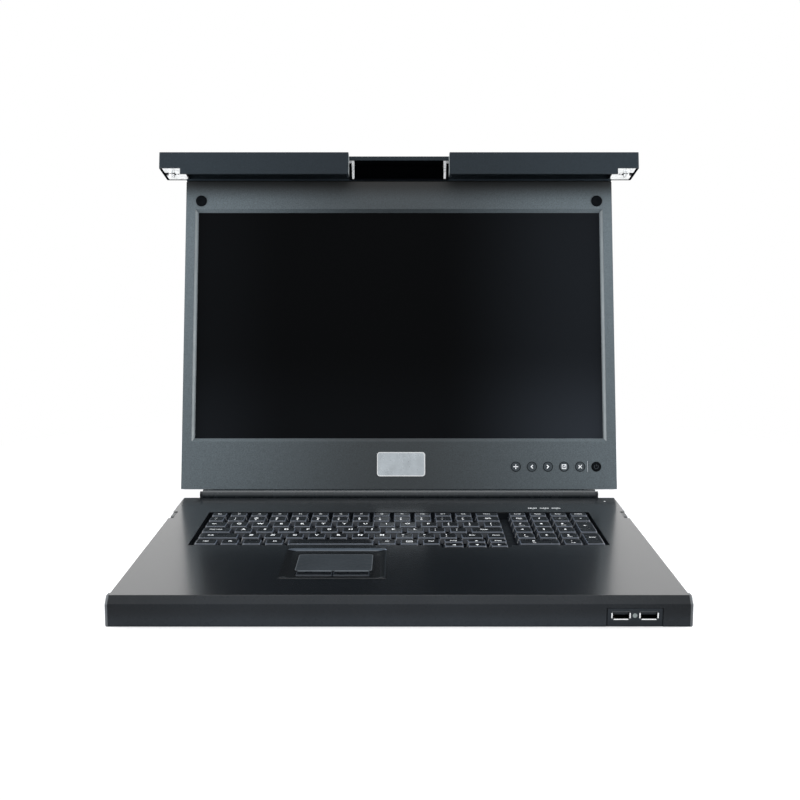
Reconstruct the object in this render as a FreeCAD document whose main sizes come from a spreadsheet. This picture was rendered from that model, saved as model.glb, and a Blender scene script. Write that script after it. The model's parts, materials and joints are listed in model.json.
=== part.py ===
import FreeCAD, Part
import os
import re

import Sketcher

# Rackmount LCD console drawer, 1U high. The slide-out tray carries a keyboard and a touchpad, and a
# hinged display whose far edge is the 19 inch front panel, so that the folded drawer is one flat unit.
# Frame: +X right, +Y to the back of the rack, +Z up. The origin lies on the underside, straight
# below the display's hinge axis.

Vector = FreeCAD.Vector
DOC = FreeCAD.newDocument("ConsoleDrawer")
SHEET = DOC.addObject("Spreadsheet::Sheet", "Dims")
PIECES = []

# ---------------------------------------------------------------- driving dimensions (mm)
DIMENSIONS = (
    # tray
    ("deck_inset", 27.8), ("deck_top", 22.4), ("steel", 1.2), ("deck_setback", 5.9),
    ("deck_depth", 301.3), ("pan_inset", 11.5), ("lip_chamfer", 5.5), ("lip_wall", 2.0),
    ("lip_flange", 10.7), ("lip_tongue", 8.0), ("cap_width", 2.2), ("cap_plug", 6.0),
    ("bay_inset", 12.0), ("bay_step", 36.0), ("bay_depth", 96.0), ("bay_height", 42.0),
    ("bay_drop", 4.0), ("notch_depth", 4.5), ("notch_front", 84.7), ("notch_length", 23.8),
    ("fit", 0.2), ("standoff_radius", 3.0), ("screw_radius", 1.25), ("head_radius", 2.7),
    ("seam", 0.05),
    # hinge
    ("closed_gap", 1.0), ("hinge_setback", 1.3), ("hinge_drop", 5.0), ("barrel_radius", 4.8),
    ("barrel_inset", 6.6), ("pin_radius", 2.0), ("pin_fit", 0.06), ("pin_length", 12.0),
    ("knuckle_width", 2.8), ("knuckle_radius", 2.8), ("leaf_thickness", 1.5), ("leaf_width", 30.0),
    ("leaf_reach", 28.0),
    ("leaf_back", 3.0), ("leaf_gap", 21.7), ("display_tilt", 14.3),
    # display
    ("lid_overhang", 13.9), ("display_thickness", 20.2), ("bezel_thickness", 2.0),
    ("rim_depth", 3.3), ("rim_width", 3.3), ("top_reveal", 1.6), ("side_border", 12.5), ("top_border", 33.2),
    ("screen_low", 50.8), ("glass_thickness", 1.2), ("glass_margin", 2.5),
    ("module_depth", 9.5), ("module_margin", 8.2), ("badge_left", 22.0), ("badge_width", 48.2),
    ("badge_low", 12.6), ("badge_height", 24.3), ("badge_thickness", 0.6), ("badge_corner", 3.0),
    ("bumper_inset", 15.5), ("bumper_drop", 21.7), ("bumper_radius", 5.7), ("bumper_rise", 0.9),
    ("post_radius", 3.2), ("post_inset", 12.5), ("post_low", 32.0), ("post_drop", 11.2),
    ("vent_pitch", 9.0), ("vent_width", 3.0), ("vent_length", 20.0), ("vent_drop", 80.2),
    ("vent_step", 26.0),
    # on-screen menu buttons
    ("button_radius", 4.7), ("button_fit", 0.08), ("menu_reach", 80.5), ("button_pitch", 16.1),
    ("power_inset", 20.3), ("button_low", 22.3), ("button_rise", 0.2), ("button_travel", 0.6),
    ("groove_gap", 8.0), ("groove_height", 12.0), ("groove_width", 0.5), ("menu_board_back", 6.4),
    # front panel
    ("panel_width", 482.6), ("ear_reach", 23.8), ("panel_depth", 22.2), ("panel_wall", 2.0),
    ("ear_gap", 2.5), ("ear_rise", 6.0), ("hand_half", 50.9), ("hand_depth", 13.9),
    ("hand_lip", 4.0), ("hole_inset", 8.75), ("latch_travel", 2.5), ("stud_radius", 3.1),
    ("stud_reach", 4.0), ("plate_gap", 0.4), ("tab_inset", 5.3), ("tab_thickness", 2.2), ("tab_setback", 6.7),
    ("tab_foot", 2.8), ("tab_drop", 3.0),
    ("latch_thickness", 1.5), ("latch_width", 7.0), ("guide_radius", 1.6), ("latch_gap", 0.3),
    ("guide_inset", 48.0), ("guide_pitch", 90.0),
    # slides
    ("slide_inset", 9.2), ("slide_rear", 4.0), ("slide_lift", 0.4), ("slide_foot", 2.0),
    ("outer_space", 2.7), ("inner_space", 2.5), ("outer_gauge", 1.2), ("inner_gauge", 1.0),
    ("outer_stand", 10.2), ("middle_stand", 7.8), ("outer_flange", 2.4), ("middle_flange", 1.6),
    ("inner_flange", 5.6), ("roller_radius", 0.7), ("roller_pitch", 36.0),
    ("roller_length", 2.4), ("strip_length", 120.0), ("strip_width", 2.8),
    ("strip_rear", 88.0), ("rack_screw_radius", 2.25), ("rack_screw_inset", 36.0),
    ("rack_screw_pitch", 208.0), ("side_screw_inset", 28.0), ("side_screw_margin", 26.0),
    ("side_screw_radius", 1.4),
    # keyboard
    ("key_border", 34.4), ("key_edge", 2.5), ("key_end", 1.3), ("numpad_gap", 6.78),
    ("row_pitch", 19.05), ("short_setback", 8.6), ("second_setback", 16.9),
    ("key_side", 0.75), ("key_depth", 17.3), ("short_depth", 14.4),
    ("arrow_setback", 3.1), ("arrow_pitch", 12.9), ("arrow_depth", 11.5),
    ("key_inset", 1.6), ("key_rise", 0.2), ("key_height", 5.0), ("key_travel", 2.2),
    ("stem_side", 4.0), ("stem_reach", 5.4), ("keys_rear", 63.0), ("row_margin", 10.7),
    ("step_left_edge", 0.74), ("step_right_edge", 1.57), ("step_depth", 7.2),
    ("tub_wall", 1.5), ("lamp_row", 53.3), ("lamp_inset", 51.4),
    ("lamp_pitch", 11.3), ("lamp_radius", 0.9),
    # touchpad
    ("dish_left", 93.5), ("dish_width", 84.0), ("dish_setback", 1.2), ("dish_front", 39.4),
    ("dish_drop", 1.2), ("dish_slope", 5.4), ("pad_inset", 11.2), ("pad_margin", 11.9),
    ("pad_rear_share", 0.193), ("pad_share", 0.475), ("pad_thickness", 1.7),
    ("touch_inset", 12.9), ("touch_margin", 13.7), ("touch_rear_share", 0.736),
    ("touch_share", 0.14), ("touch_travel", 0.8),
    # slide release levers
    ("lever_length", 15.0), ("lever_travel", 4.0),
    # USB module in the front lip
    ("usb_inset", 61.5), ("usb_width", 41.6), ("usb_height", 14.1), ("port_inset", 10.6),
    ("port_pitch", 20.5), ("port_height", 8.5), ("port_wide", 13.4), ("port_tall", 6.0),
    ("port_depth", 13.5), ("port_skin", 0.35), ("usb_lamp_radius", 1.7),
    # rear connectors and electronics
    ("inlet_inset", 24.0), ("inlet_wide", 27.0), ("inlet_tall", 20.0), ("inlet_depth", 20.0),
    ("inlet_height", 22.0), ("video_inset", 60.0), ("video_wide", 30.8), ("video_tall", 12.0),
    ("usb_b_inset", 105.0), ("usb_b_wide", 12.0), ("usb_b_tall", 11.0), ("board_height", 6.0),
    ("board_thickness", 1.6), ("board_inset", 15.0), ("board_width", 150.0),
    ("board_depth", 46.0), ("post_margin", 15.0),
    ("supply_left", 20.0), ("supply_width", 100.0), ("supply_gap", 6.8), ("supply_back", 4.0),
    ("supply_height", 30.0),
)
# Sizes that follow from the ones above.
DERIVED = (
    ("deck_width", "panel_width - 2 * deck_inset"),
    ("pan_width", "deck_width - 2 * pan_inset"),
    ("bay_width", "pan_width - 2 * bay_inset"),
    ("bay_low", "deck_top - bay_drop"),
    ("barrel_half", "pan_width / 2 - barrel_inset"),
    ("display_width", "panel_width - 2 * ear_reach"),
    ("display_height", "deck_depth + lid_overhang"),
    ("panel_height", "deck_top + closed_gap + display_thickness"),
    ("screen_width", "display_width - 2 * side_border"),
    ("screen_height", "display_height - screen_low - top_border"),
    ("bumper_place", "display_width / 2 - bumper_inset"),
    ("bumper_low", "display_height - bumper_drop"),
    ("post_place", "display_width / 2 - post_inset"),
    ("post_high", "display_height - post_drop"),
    ("power_place", "display_width / 2 - power_inset"),
    ("button_first", "power_place - menu_reach"),
    ("leaf_spacing", "button_first - leaf_width / 2 - leaf_gap"),
    ("groove_place", "power_place - groove_gap"),
    ("ear_start", "display_width / 2 + ear_gap"),
    ("plate_inner", "display_width / 2 + plate_gap"),
    ("rack_hole_pitch", "panel_width - 2 * hole_inset"),
    ("tab_place", "hand_half - tab_inset"),
    ("slide_front", "deck_depth + deck_setback - slide_inset"),
    ("slide_centre", "(deck_top - steel) / 2 + slide_lift"),
    ("outer_half", "slide_centre - slide_foot"),
    ("middle_half", "outer_half - outer_space"),
    ("inner_half", "middle_half - inner_space"),
    ("outer_web", "pan_width / 2 + outer_stand"),
    ("middle_web", "pan_width / 2 + middle_stand"),
    ("outer_tip", "pan_width / 2 + outer_flange"),
    ("middle_tip", "pan_width / 2 + middle_flange"),
    ("inner_tip", "pan_width / 2 + inner_flange"),
    ("rack_screw_front", "slide_front - rack_screw_inset"),
    ("side_screw_front", "slide_front - side_screw_inset"),
    ("side_screw_pitch", "side_screw_front - slide_rear - side_screw_margin"),
    ("keys_right", "deck_width / 2 - key_border"),
    ("key_left", "keys_right - key_edge"),
    ("key_pitch", "(key_left + keys_right - key_end - numpad_gap) / 18.2"),
    ("numpad_left", "keys_right - key_end - 4 * key_pitch"),
    ("short_row", "keys_rear + short_setback"),
    ("plate_drop", "key_height - key_rise + key_travel + 2 * fit"),
    ("front_row", "short_row + second_setback + 4 * row_pitch"),
    ("keys_front", "front_row + row_margin"),
    ("arrow_row", "front_row - arrow_setback"),
    ("step_left", "11.18 * key_pitch - key_left - step_left_edge"),
    ("step_right", "14.19 * key_pitch - key_left + step_right_edge"),
    ("step_front", "keys_front + step_depth"),
    ("lamp_first", "keys_right - lamp_inset"),
    ("dish_rear", "step_front + dish_setback"),
    ("dish_depth", "deck_depth + deck_setback - dish_front - dish_rear"),
    ("pad_left", "dish_left - pad_inset"),
    ("pad_width", "dish_width - pad_inset - pad_margin"),
    ("pad_rear", "dish_rear + pad_rear_share * dish_depth"),
    ("pad_depth", "pad_share * dish_depth"),
    ("touch_left", "dish_left - touch_inset"),
    ("touch_width", "dish_width - touch_inset - touch_margin"),
    ("touch_rear", "dish_rear + touch_rear_share * dish_depth"),
    ("touch_depth", "touch_share * dish_depth"),
    ("usb_left", "deck_width / 2 - usb_inset"),
    ("port_first", "usb_left + port_inset"),
    ("usb_lamp_place", "usb_left + usb_width / 2"),
    ("inlet_place", "bay_width / 2 - inlet_inset"),
    ("video_place", "video_inset - bay_width / 2"),
    ("usb_b_place", "usb_b_inset - bay_width / 2"),
    ("board_left", "board_inset - bay_width / 2"),
    ("supply_depth", "bay_depth - bay_step - steel - supply_gap - supply_back"),
)
for line, (alias, number) in enumerate(DIMENSIONS, start=1):
    SHEET.set("A%d" % line, alias)
    SHEET.set("B%d" % line, str(number))
    SHEET.setAlias("B%d" % line, alias)
for line, (alias, formula) in enumerate(DERIVED, start=len(DIMENSIONS) + 1):
    SHEET.set("A%d" % line, alias)
    SHEET.set("B%d" % line, "=" + formula)
    SHEET.setAlias("B%d" % line, alias)
DOC.recompute()
ALIASES = {alias for alias, rule in DIMENSIONS + DERIVED}
NAME = re.compile(r"[a-z][a-z_]*")

# ---------------------------------------------------------------- places worked out from them
HINGE_HEIGHT = "(deck_top + closed_gap + hinge_setback)"
DECK_HALF = "(deck_width / 2)"
DECK_UNDER = "(deck_top - steel)"
DECK_REAR = "(-deck_setback)"
DECK_FRONT = "(-deck_setback - deck_depth)"
LIP_FRONT = "(-deck_setback - deck_depth - lip_chamfer)"
LIP_REAR = "(-deck_setback - deck_depth - lip_chamfer + lip_flange)"
PAN_HALF = "(pan_width / 2)"
BAY_HALF = "(bay_width / 2)"
# In the display's own frame the hinge axis is the X axis, and Z runs up the screen.
FACE = "(-hinge_setback)"
BACK = "(display_thickness - hinge_setback)"
CASE_HALF = "(display_width / 2)"
CASE_TOP = "(hinge_drop + display_height)"
PANEL_FRONT = "(display_thickness - hinge_setback - panel_height)"
PANEL_TOP = "(hinge_drop + display_height + panel_depth)"
PANEL_INNER = "(hinge_drop + display_height + panel_depth - panel_wall)"
PANEL_MIDDLE = "(display_thickness - hinge_setback - panel_height / 2)"
EAR_LOW = "(hinge_drop + display_height + ear_rise)"
PANEL_HALF = "(panel_width / 2)"
STUD_PLACE = "(rack_hole_pitch / 2)"
KEY_TOP = "(deck_top + key_rise)"
KEY_UNDER = "(deck_top + key_rise - key_height)"
PLATE_TOP = "(deck_top - plate_drop)"


def bound(text):
    """The expression with each named size taken from the sheet."""
    return NAME.sub(lambda word: "Dims." + word.group() if word.group() in ALIASES else word.group(),
                    str(text))


def value(text):
    """The number that an expression gives now."""
    return float(SHEET.evalExpression(bound(text)))


def tie(thing, **sizes):
    """Binds properties of an object to expressions."""
    for name, text in sizes.items():
        thing.setExpression(name, bound(text))


def move(thing, place):
    for axis, text in zip("xyz", place):
        thing.setExpression(".Placement.Base." + axis, bound(text))


# ---------------------------------------------------------------- building blocks
def block(name, low, high):
    """A box between two corners, each given as three expressions."""
    box = DOC.addObject("Part::Box", name)
    spans = ["(%s) - (%s)" % (far, near) for near, far in zip(low, high)]
    tie(box, Length=spans[0], Width=spans[1], Height=spans[2])
    move(box, low)
    return box


def beside(name, side, inner, outer, low, high):
    """A box on the right (side 1) or mirrored on the left (side -1), from |x| inner to |x| outer."""
    near, far = (inner, outer) if side > 0 else ("-(%s)" % outer, "-(%s)" % inner)
    return block(name, (near,) + low, (far,) + high)


AXES = {"x": FreeCAD.Rotation(Vector(0, 1, 0), 90), "y": FreeCAD.Rotation(Vector(1, 0, 0), -90),
        "z": FreeCAD.Rotation()}


def rod(name, start, axis, radius, length):
    """A cylinder from start along +X, +Y or +Z."""
    cylinder = DOC.addObject("Part::Cylinder", name)
    cylinder.Placement.Rotation = AXES[axis]
    tie(cylinder, Radius=radius, Height=length)
    move(cylinder, start)
    return cylinder


def cone(name, start, axis, first, last, length):
    """A cone frustum from start along an axis, from the first radius to the last."""
    frustum = DOC.addObject("Part::Cone", name)
    frustum.Placement.Rotation = AXES[axis]
    tie(frustum, Radius1=first, Radius2=last, Height=length)
    move(frustum, start)
    return frustum


def taper(name, place, base, top, turn):
    """A frustum with rectangular ends: base and top are (left, right, near, far), turn sets its axis."""
    wedge = DOC.addObject("Part::Wedge", name)
    wedge.Placement.Rotation = turn
    tie(wedge, Xmin=base[0], Xmax=base[1], Zmin=base[2], Zmax=base[3], Ymin="0", Ymax=base[4],
        X2min=top[0], X2max=top[1], Z2min=top[2], Z2max=top[3])
    move(wedge, place)
    return wedge


def fuse(name, shapes):
    union = DOC.addObject("Part::MultiFuse", name)
    union.Shapes = shapes
    union.Refine = True
    return union


def group(name, shapes):
    """Separate solids kept as one piece."""
    compound = DOC.addObject("Part::Compound", name)
    compound.Links = shapes
    return compound


def cut(name, base, tools):
    tool = tools[0] if len(tools) == 1 else group(name + "_tools", tools)
    difference = DOC.addObject("Part::Cut", name)
    difference.Base = base
    difference.Tool = tool
    difference.Refine = True
    return difference


def piece(label, thing):
    """Registers a finished sub-part under the name that its node has."""
    thing.Label = label
    PIECES.append(thing)
    return thing


def on_display(label, thing):
    """A finished sub-part of the display, tilted back about the hinge axis."""
    if thing.TypeId not in ("PartDesign::Body", "Part::Cut", "Part::MultiFuse", "Part::Compound"):
        thing = group(label + "_set", [thing])
    thing.Placement = FreeCAD.Placement(Vector(), FreeCAD.Rotation(Vector(1, 0, 0), -1))
    move(thing, ("0", "0", HINGE_HEIGHT))
    thing.setExpression(".Placement.Rotation.Angle", bound("-display_tilt"))
    return piece(label, thing)


def sketch_on(body, name, plane, offset="0"):
    sketch = body.newObject("Sketcher::SketchObject", name)
    support = [item for item in body.Origin.OriginFeatures if item.Role == plane][0]
    sketch.AttachmentSupport = (support, [""])
    sketch.MapMode = "FlatFace"
    sketch.setExpression(".AttachmentOffset.Base.z", bound(offset))
    return sketch


def draw(sketch, corners):
    """A closed outline with straight sides, each corner held by two bound distances."""
    first = sketch.GeometryCount
    count = len(corners)
    spots = [Vector(value(across), value(along), 0) for across, along in corners]
    sides = [Part.LineSegment(spots[i], spots[(i + 1) % count]) for i in range(count)]
    sketch.addGeometry(sides, False)
    for i in range(count):
        sketch.addConstraint(Sketcher.Constraint("Coincident", first + i, 2, first + (i + 1) % count, 1))
    for i, (across, along) in enumerate(corners):
        for kind, text, number in (("DistanceX", across, spots[i].x), ("DistanceY", along, spots[i].y)):
            index = sketch.addConstraint(Sketcher.Constraint(kind, -1, 1, first + i, 1, number))
            sketch.setExpression("Constraints[%d]" % index, bound(text))


def bore(sketch, across, along, radius):
    """A round opening in a sketch."""
    centre = Vector(value(across), value(along), 0)
    number = sketch.addGeometry(Part.Circle(centre, Vector(0, 0, 1), value(radius)), False)
    places = (("DistanceX", across, centre.x), ("DistanceY", along, centre.y))
    for kind, text, amount in places:
        index = sketch.addConstraint(Sketcher.Constraint(kind, -1, 1, number, 3, amount))
        sketch.setExpression("Constraints[%d]" % index, bound(text))
    index = sketch.addConstraint(Sketcher.Constraint("Radius", number, value(radius)))
    sketch.setExpression("Constraints[%d]" % index, bound(radius))


def rectangle(left, right, low, high):
    return [(left, low), (right, low), (right, high), (left, high)]


def pad(body, name, sketch, length, both_ways=False):
    feature = body.newObject("PartDesign::Pad", name)
    feature.Profile = sketch
    feature.SideType = "Symmetric" if both_ways else "One side"
    tie(feature, Length=length)
    return feature


def pocket(body, name, sketch, length):
    """A cut on both sides of the sketch's plane."""
    feature = body.newObject("PartDesign::Pocket", name)
    feature.Profile = sketch
    feature.SideType = "Symmetric"
    tie(feature, Length=length)
    return feature


def soften(body, name, base, radius, chosen, kind="PartDesign::Fillet"):
    """Rounds or chamfers the edges of a feature that the test chooses."""
    DOC.recompute()
    edges = ["Edge%d" % (i + 1) for i, edge in enumerate(base.Shape.Edges) if chosen(edge)]
    feature = body.newObject(kind, name)
    feature.Base = (base, edges)
    tie(feature, **{"Radius" if kind.endswith("Fillet") else "Size": radius})
    return feature


def new_body(name):
    return DOC.addObject("PartDesign::Body", name)


def runs_along(edge, axis):
    """True for a straight edge parallel to an axis."""
    if edge.Curve.TypeId != "Part::GeomLine":
        return False
    return edge.Curve.Direction.isEqual(axis, 1e-6) or edge.Curve.Direction.isEqual(-axis, 1e-6)


# ---------------------------------------------------------------- slides
def channel(name, side, back, tip, half, gauge):
    """A rolled slide member: a C section with its web at |x| back and its flanges to |x| tip."""
    sign = "" if side > 0 else "-"
    thick = "%s + %s" % (back, gauge) if value(tip) > value(back) else "%s - %s" % (back, gauge)
    level = "slide_centre + %s%s"
    outline = [(back, "", half), (tip, "", half), (tip, "", half + " - " + gauge),
               (thick, "", half + " - " + gauge), (thick, "-", half + " - " + gauge),
               (tip, "-", half + " - " + gauge), (tip, "-", half), (back, "-", half)]
    body = new_body(name)
    sketch = sketch_on(body, name + "_section", "XZ_Plane", "slide_rear")
    corners = [("%s(%s)" % (sign, across), level % (flip, "(%s)" % up)) for across, flip, up in outline]
    draw(sketch, [(across, up.replace("+ -", "- ")) for across, up in corners])
    pad(body, name + "_length", sketch, "slide_front - slide_rear")
    return body


def roller_strips(name, side, across, up):
    """Two retainer strips with their rollers, above and below the inner channel's flanges."""
    shapes = []
    for flip in (1, -1):
        level = "(slide_centre + %d * (%s))" % (flip, up)
        tag = "%s_%s" % (name, "top" if flip > 0 else "low")
        strip = beside(tag, side, "(%s) - strip_width / 2" % across,
                       "(%s) + strip_width / 2" % across,
                       ("-strip_rear - strip_length", level + " - 0.3"), ("-strip_rear", level + " + 0.3"))
        rollers = []
        for turn in range(3):
            row = "-strip_rear - strip_length / 2 + %d * roller_pitch" % (turn - 1)
            start = "%d * (%s) - roller_length / 2" % (side, across)
            rollers.append(rod("%s_roller_%d" % (tag, turn + 1), (start, row, level), "x",
                               "roller_radius", "roller_length"))
        shapes.append(fuse(tag + "_strip", [strip] + rollers))
    return shapes


def make_slides():
    outer_strips = []
    inner_strips = []
    for side, word in ((-1, "left"), (1, "right")):
        outer = channel("outer_" + word, side, "outer_web", "outer_tip", "outer_half", "outer_gauge")
        holes = []
        for number in range(2):
            place = "-rack_screw_front + %d * rack_screw_pitch" % number
            start = "outer_web - outer_gauge - 0.5" if side > 0 else "-outer_web - 0.5"
            holes.append(rod("outer_%s_hole_%d" % (word, number), (start, place, "slide_centre"), "x",
                             "rack_screw_radius", "outer_gauge + 1"))
        piece("slide_outer_" + word, cut("outer_%s_drilled" % word, outer, holes))
        piece("slide_middle_" + word, channel("middle_" + word, side, "middle_web", "middle_tip",
                                              "middle_half", "inner_gauge"))
        inner = channel("inner_" + word, side, PAN_HALF, "inner_tip", "inner_half", "inner_gauge")
        piece("slide_inner_" + word, cut("inner_%s_drilled" % word, inner,
                                         side_screw_holes("inner_" + word, side)))
        outer_strips += roller_strips("outer_rollers_" + word, side, "(outer_tip + outer_web) / 2 - 1.4",
                                    "(outer_half - outer_gauge + middle_half) / 2")
        inner_strips += roller_strips("inner_rollers_" + word, side, "(pan_width / 2 + inner_tip) / 2 + 0.8",
                                    "(middle_half - inner_gauge + inner_half) / 2")
    piece("outer_roller_strips", group("outer_roller_set", outer_strips))
    piece("inner_roller_strips", group("inner_roller_set", inner_strips))


def side_screw_rows():
    return ["-side_screw_front + %d * side_screw_pitch" % number for number in range(2)]


def side_screw_holes(name, side):
    """Holes for the screws that hold the inner slide member on the tray's side wall."""
    start = "pan_width / 2 - steel - 1" if side > 0 else "-pan_width / 2 - inner_gauge - 1"
    return [rod("%s_hole_%d" % (name, i), (start, row, "slide_centre"), "x",
                "side_screw_radius + pin_fit", "steel + inner_gauge + 2")
            for i, row in enumerate(side_screw_rows())]


def make_slide_screws():
    screws = []
    for side, word in ((-1, "left"), (1, "right")):
        for i, row in enumerate(side_screw_rows()):
            name = "side_screw_%s_%d" % (word, i)
            inside = "pan_width / 2 - steel - 0.8"
            seat = "pan_width / 2 + inner_gauge"
            shank_start = inside if side > 0 else "-(%s)" % seat
            head_start = seat if side > 0 else "-(%s) - 1.2" % seat
            shank = rod(name + "_shank", (shank_start, row, "slide_centre"), "x", "side_screw_radius",
                        "(%s) - (%s)" % (seat, inside))
            head = rod(name + "_head", (head_start, row, "slide_centre"), "x", "head_radius - 0.2", "1.2")
            screws.append(fuse(name, [shank, head]))
    return screws


# ---------------------------------------------------------------- tray
def pan_screw_places():
    """Where the deck's standoffs come down on the pan."""
    return [("%d * (pan_width / 2 - steel - 3 * standoff_radius)" % side, row) for side in (-1, 1)
            for row in ("%s + 5 * standoff_radius" % LIP_REAR, "-notch_front / 2 + notch_length / 2")]


def make_base_pan():
    walls = [block("pan_floor", ("-" + PAN_HALF, LIP_REAR, "0"), (PAN_HALF, DECK_REAR, "steel")),
             block("bay_floor", ("-" + BAY_HALF, DECK_REAR, "0"), (BAY_HALF, "bay_depth", "steel"))]
    for side, word in ((-1, "left"), (1, "right")):
        walls.append(beside("pan_side_" + word, side, "pan_width / 2 - steel", PAN_HALF,
                            (LIP_REAR, "0"), (DECK_REAR, DECK_UNDER)))
        walls.append(beside("pan_rear_" + word, side, "bay_width / 2 - steel", PAN_HALF,
                            (DECK_REAR + " - steel", "0"), (DECK_REAR, DECK_UNDER)))
        walls.append(beside("bay_side_" + word, side, "bay_width / 2 - steel", BAY_HALF,
                            (DECK_REAR, "0"), ("bay_depth", "bay_low - steel")))
    walls.append(block("pan_front_left", ("-" + PAN_HALF, LIP_REAR, "0"),
                       ("usb_left - 4", LIP_REAR + " + steel", DECK_UNDER + " - lip_wall")))
    walls.append(block("pan_front_right", ("usb_left + usb_width + 1.5", LIP_REAR, "0"),
                       (PAN_HALF, LIP_REAR + " + steel", DECK_UNDER + " - lip_wall")))
    for number, across in enumerate(("board_left + post_margin", "board_left + board_width - post_margin")):
        for row, along in enumerate(("bay_depth - 10", "bay_depth - board_depth + 6")):
            walls.append(rod("board_post_%d_%d" % (number, row), (across, along, "0"), "z",
                             "standoff_radius", "board_height"))
    tools = []
    for side, word in ((-1, "left"), (1, "right")):
        tools += side_screw_holes("pan_" + word, side)
    for number, (across, along) in enumerate(pan_screw_places()):
        tools.append(cone("pan_sink_%d" % number, (across, along, "-0.01"), "z", "head_radius + pin_fit",
                          "screw_radius + pin_fit", "steel + 0.02"))
    piece("base_pan", cut("pan_drilled", fuse("pan_walls", walls), tools))


def make_deck_cover():
    body = new_body("deck_sheet")
    sheet = sketch_on(body, "deck_outline", "XY_Plane", DECK_UNDER)
    notch_rear = "(-notch_front + notch_length)"
    edge = DECK_HALF
    inner = "(deck_width / 2 - notch_depth)"
    draw(sheet, [("-" + edge, DECK_FRONT), (edge, DECK_FRONT), (edge, "-notch_front"),
                 (inner, "-notch_front"), (inner, notch_rear), (edge, notch_rear), (edge, DECK_REAR),
                 ("-" + edge, DECK_REAR), ("-" + edge, notch_rear), ("-" + inner, notch_rear),
                 ("-" + inner, "-notch_front"), ("-" + edge, "-notch_front")])
    pad(body, "deck_plate", sheet, "steel")
    openings = sketch_on(body, "deck_openings", "XY_Plane", "deck_top")
    draw(openings, [("-keys_right", "-keys_rear"), ("keys_right", "-keys_rear"),
                    ("keys_right", "-keys_front"), ("step_right", "-keys_front"),
                    ("step_right", "-step_front"), ("step_left", "-step_front"),
                    ("step_left", "-keys_front"), ("-keys_right", "-keys_front")])
    draw(openings, rectangle("-dish_left", "-dish_left + dish_width", "-dish_rear - dish_depth",
                             "-dish_rear"))
    for number in range(3):
        bore(openings, "lamp_first + %d * lamp_pitch" % number, "-lamp_row", "lamp_radius + pin_fit")
    pocket(body, "deck_cuts", openings, "4 * steel")
    parts = [body, block("deck_rear_flange",
                         ("-%s + 2 * steel" % BAY_HALF, DECK_REAR + " - steel", "bay_low"),
                         ("%s - 2 * steel" % BAY_HALF, DECK_REAR, "deck_top"))]
    for side, word in ((-1, "left"), (1, "right")):
        parts.append(beside("deck_side_flange_" + word, side, "pan_width / 2 - 2 * steel - fit",
                            "pan_width / 2 - steel - fit",
                            (LIP_REAR + " + 6", "slide_centre + 3"), (DECK_REAR + " - 6", "deck_top")))
    for number, (across, along) in enumerate(pan_screw_places()):
        parts.append(rod("standoff_%d" % number, (across, along, "steel"), "z", "standoff_radius",
                         "deck_top - steel"))
    threads = [rod("standoff_bore_%d" % number, (across, along, "0"), "z", "screw_radius + pin_fit", "9")
               for number, (across, along) in enumerate(pan_screw_places())]
    piece("deck_cover", cut("deck_drilled", fuse("deck_parts", parts), threads))


def make_tray_screws():
    screws = make_slide_screws()
    for number, (across, along) in enumerate(pan_screw_places()):
        name = "pan_screw_%d" % number
        head = cone(name + "_head", (across, along, "0"), "z", "head_radius", "screw_radius", "steel")
        shank = rod(name + "_shank", (across, along, "steel"), "z", "screw_radius", "7")
        screws.append(fuse(name, [head, shank]))
    piece("tray_screws", group("tray_screw_set", screws))


def lip_outline():
    """The front lip's section in the Y-Z plane: a chamfered front wall with a flange and a tongue."""
    low = "(%s + lip_wall)" % LIP_FRONT
    turn = "(deck_top - lip_chamfer - 0.414 * lip_wall)"
    shelf = "(%s - lip_wall)" % DECK_UNDER
    return [(DECK_FRONT, "deck_top"), (LIP_FRONT, "deck_top - lip_chamfer"), (LIP_FRONT, "0"),
            (LIP_REAR, "0"), (LIP_REAR, "lip_wall"), (low, "lip_wall"), (low, turn),
            ("%s + %s - %s" % (low, shelf, turn), shelf), (DECK_FRONT + " + lip_tongue", shelf),
            (DECK_FRONT + " + lip_tongue", DECK_UNDER), (DECK_FRONT, DECK_UNDER)]


def make_front_lip():
    body = new_body("lip_bar")
    section = sketch_on(body, "lip_section", "YZ_Plane")
    draw(section, lip_outline())
    pad(body, "lip_length", section, "deck_width", both_ways=True)
    window = block("lip_window", ("usb_left", LIP_FRONT + " - 1", "-1"),
                   ("usb_left + usb_width", LIP_REAR + " + 1", "usb_height"))
    ends = [beside("lip_tongue_end_" + word, side, "pan_width / 2 - steel - fit", DECK_HALF,
                   (DECK_FRONT, DECK_UNDER + " - lip_wall"), (DECK_FRONT + " + lip_tongue", DECK_UNDER))
            for side, word in ((-1, "left"), (1, "right"))]
    piece("front_lip", cut("lip_cut", body, [window] + ends))
    caps = []
    for side, word in ((-1, "left"), (1, "right")):
        cap = new_body("cap_" + word)
        start = DECK_HALF if side > 0 else "-%s - cap_width" % DECK_HALF
        outline = sketch_on(cap, "cap_outline_" + word, "YZ_Plane", start)
        draw(outline, [(DECK_FRONT, "deck_top"), (LIP_FRONT, "deck_top - lip_chamfer"), (LIP_FRONT, "0"),
                       (LIP_REAR, "0"), (LIP_REAR, "deck_top")])
        plate = pad(cap, "cap_plate_" + word, outline, "cap_width")
        outer = value(DECK_HALF) + value("cap_width")
        soften(cap, "cap_round_" + word, plate, "0.6 * cap_width",
               lambda edge: abs(abs(edge.CenterOfMass.x) - outer) < 1e-6)
        plug = beside("cap_plug_" + word, side, DECK_HALF + " - cap_plug", DECK_HALF,
                      (LIP_FRONT + " + lip_wall + fit", "lip_wall + fit"), (LIP_REAR, "deck_top - 9"))
        caps.append(fuse("lip_cap_" + word, [cap, plug]))
    piece("lip_end_caps", group("lip_cap_set", caps))


# ---------------------------------------------------------------- USB module
def port_places():
    return ["port_first + %d * port_pitch" % number for number in range(2)]


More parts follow.
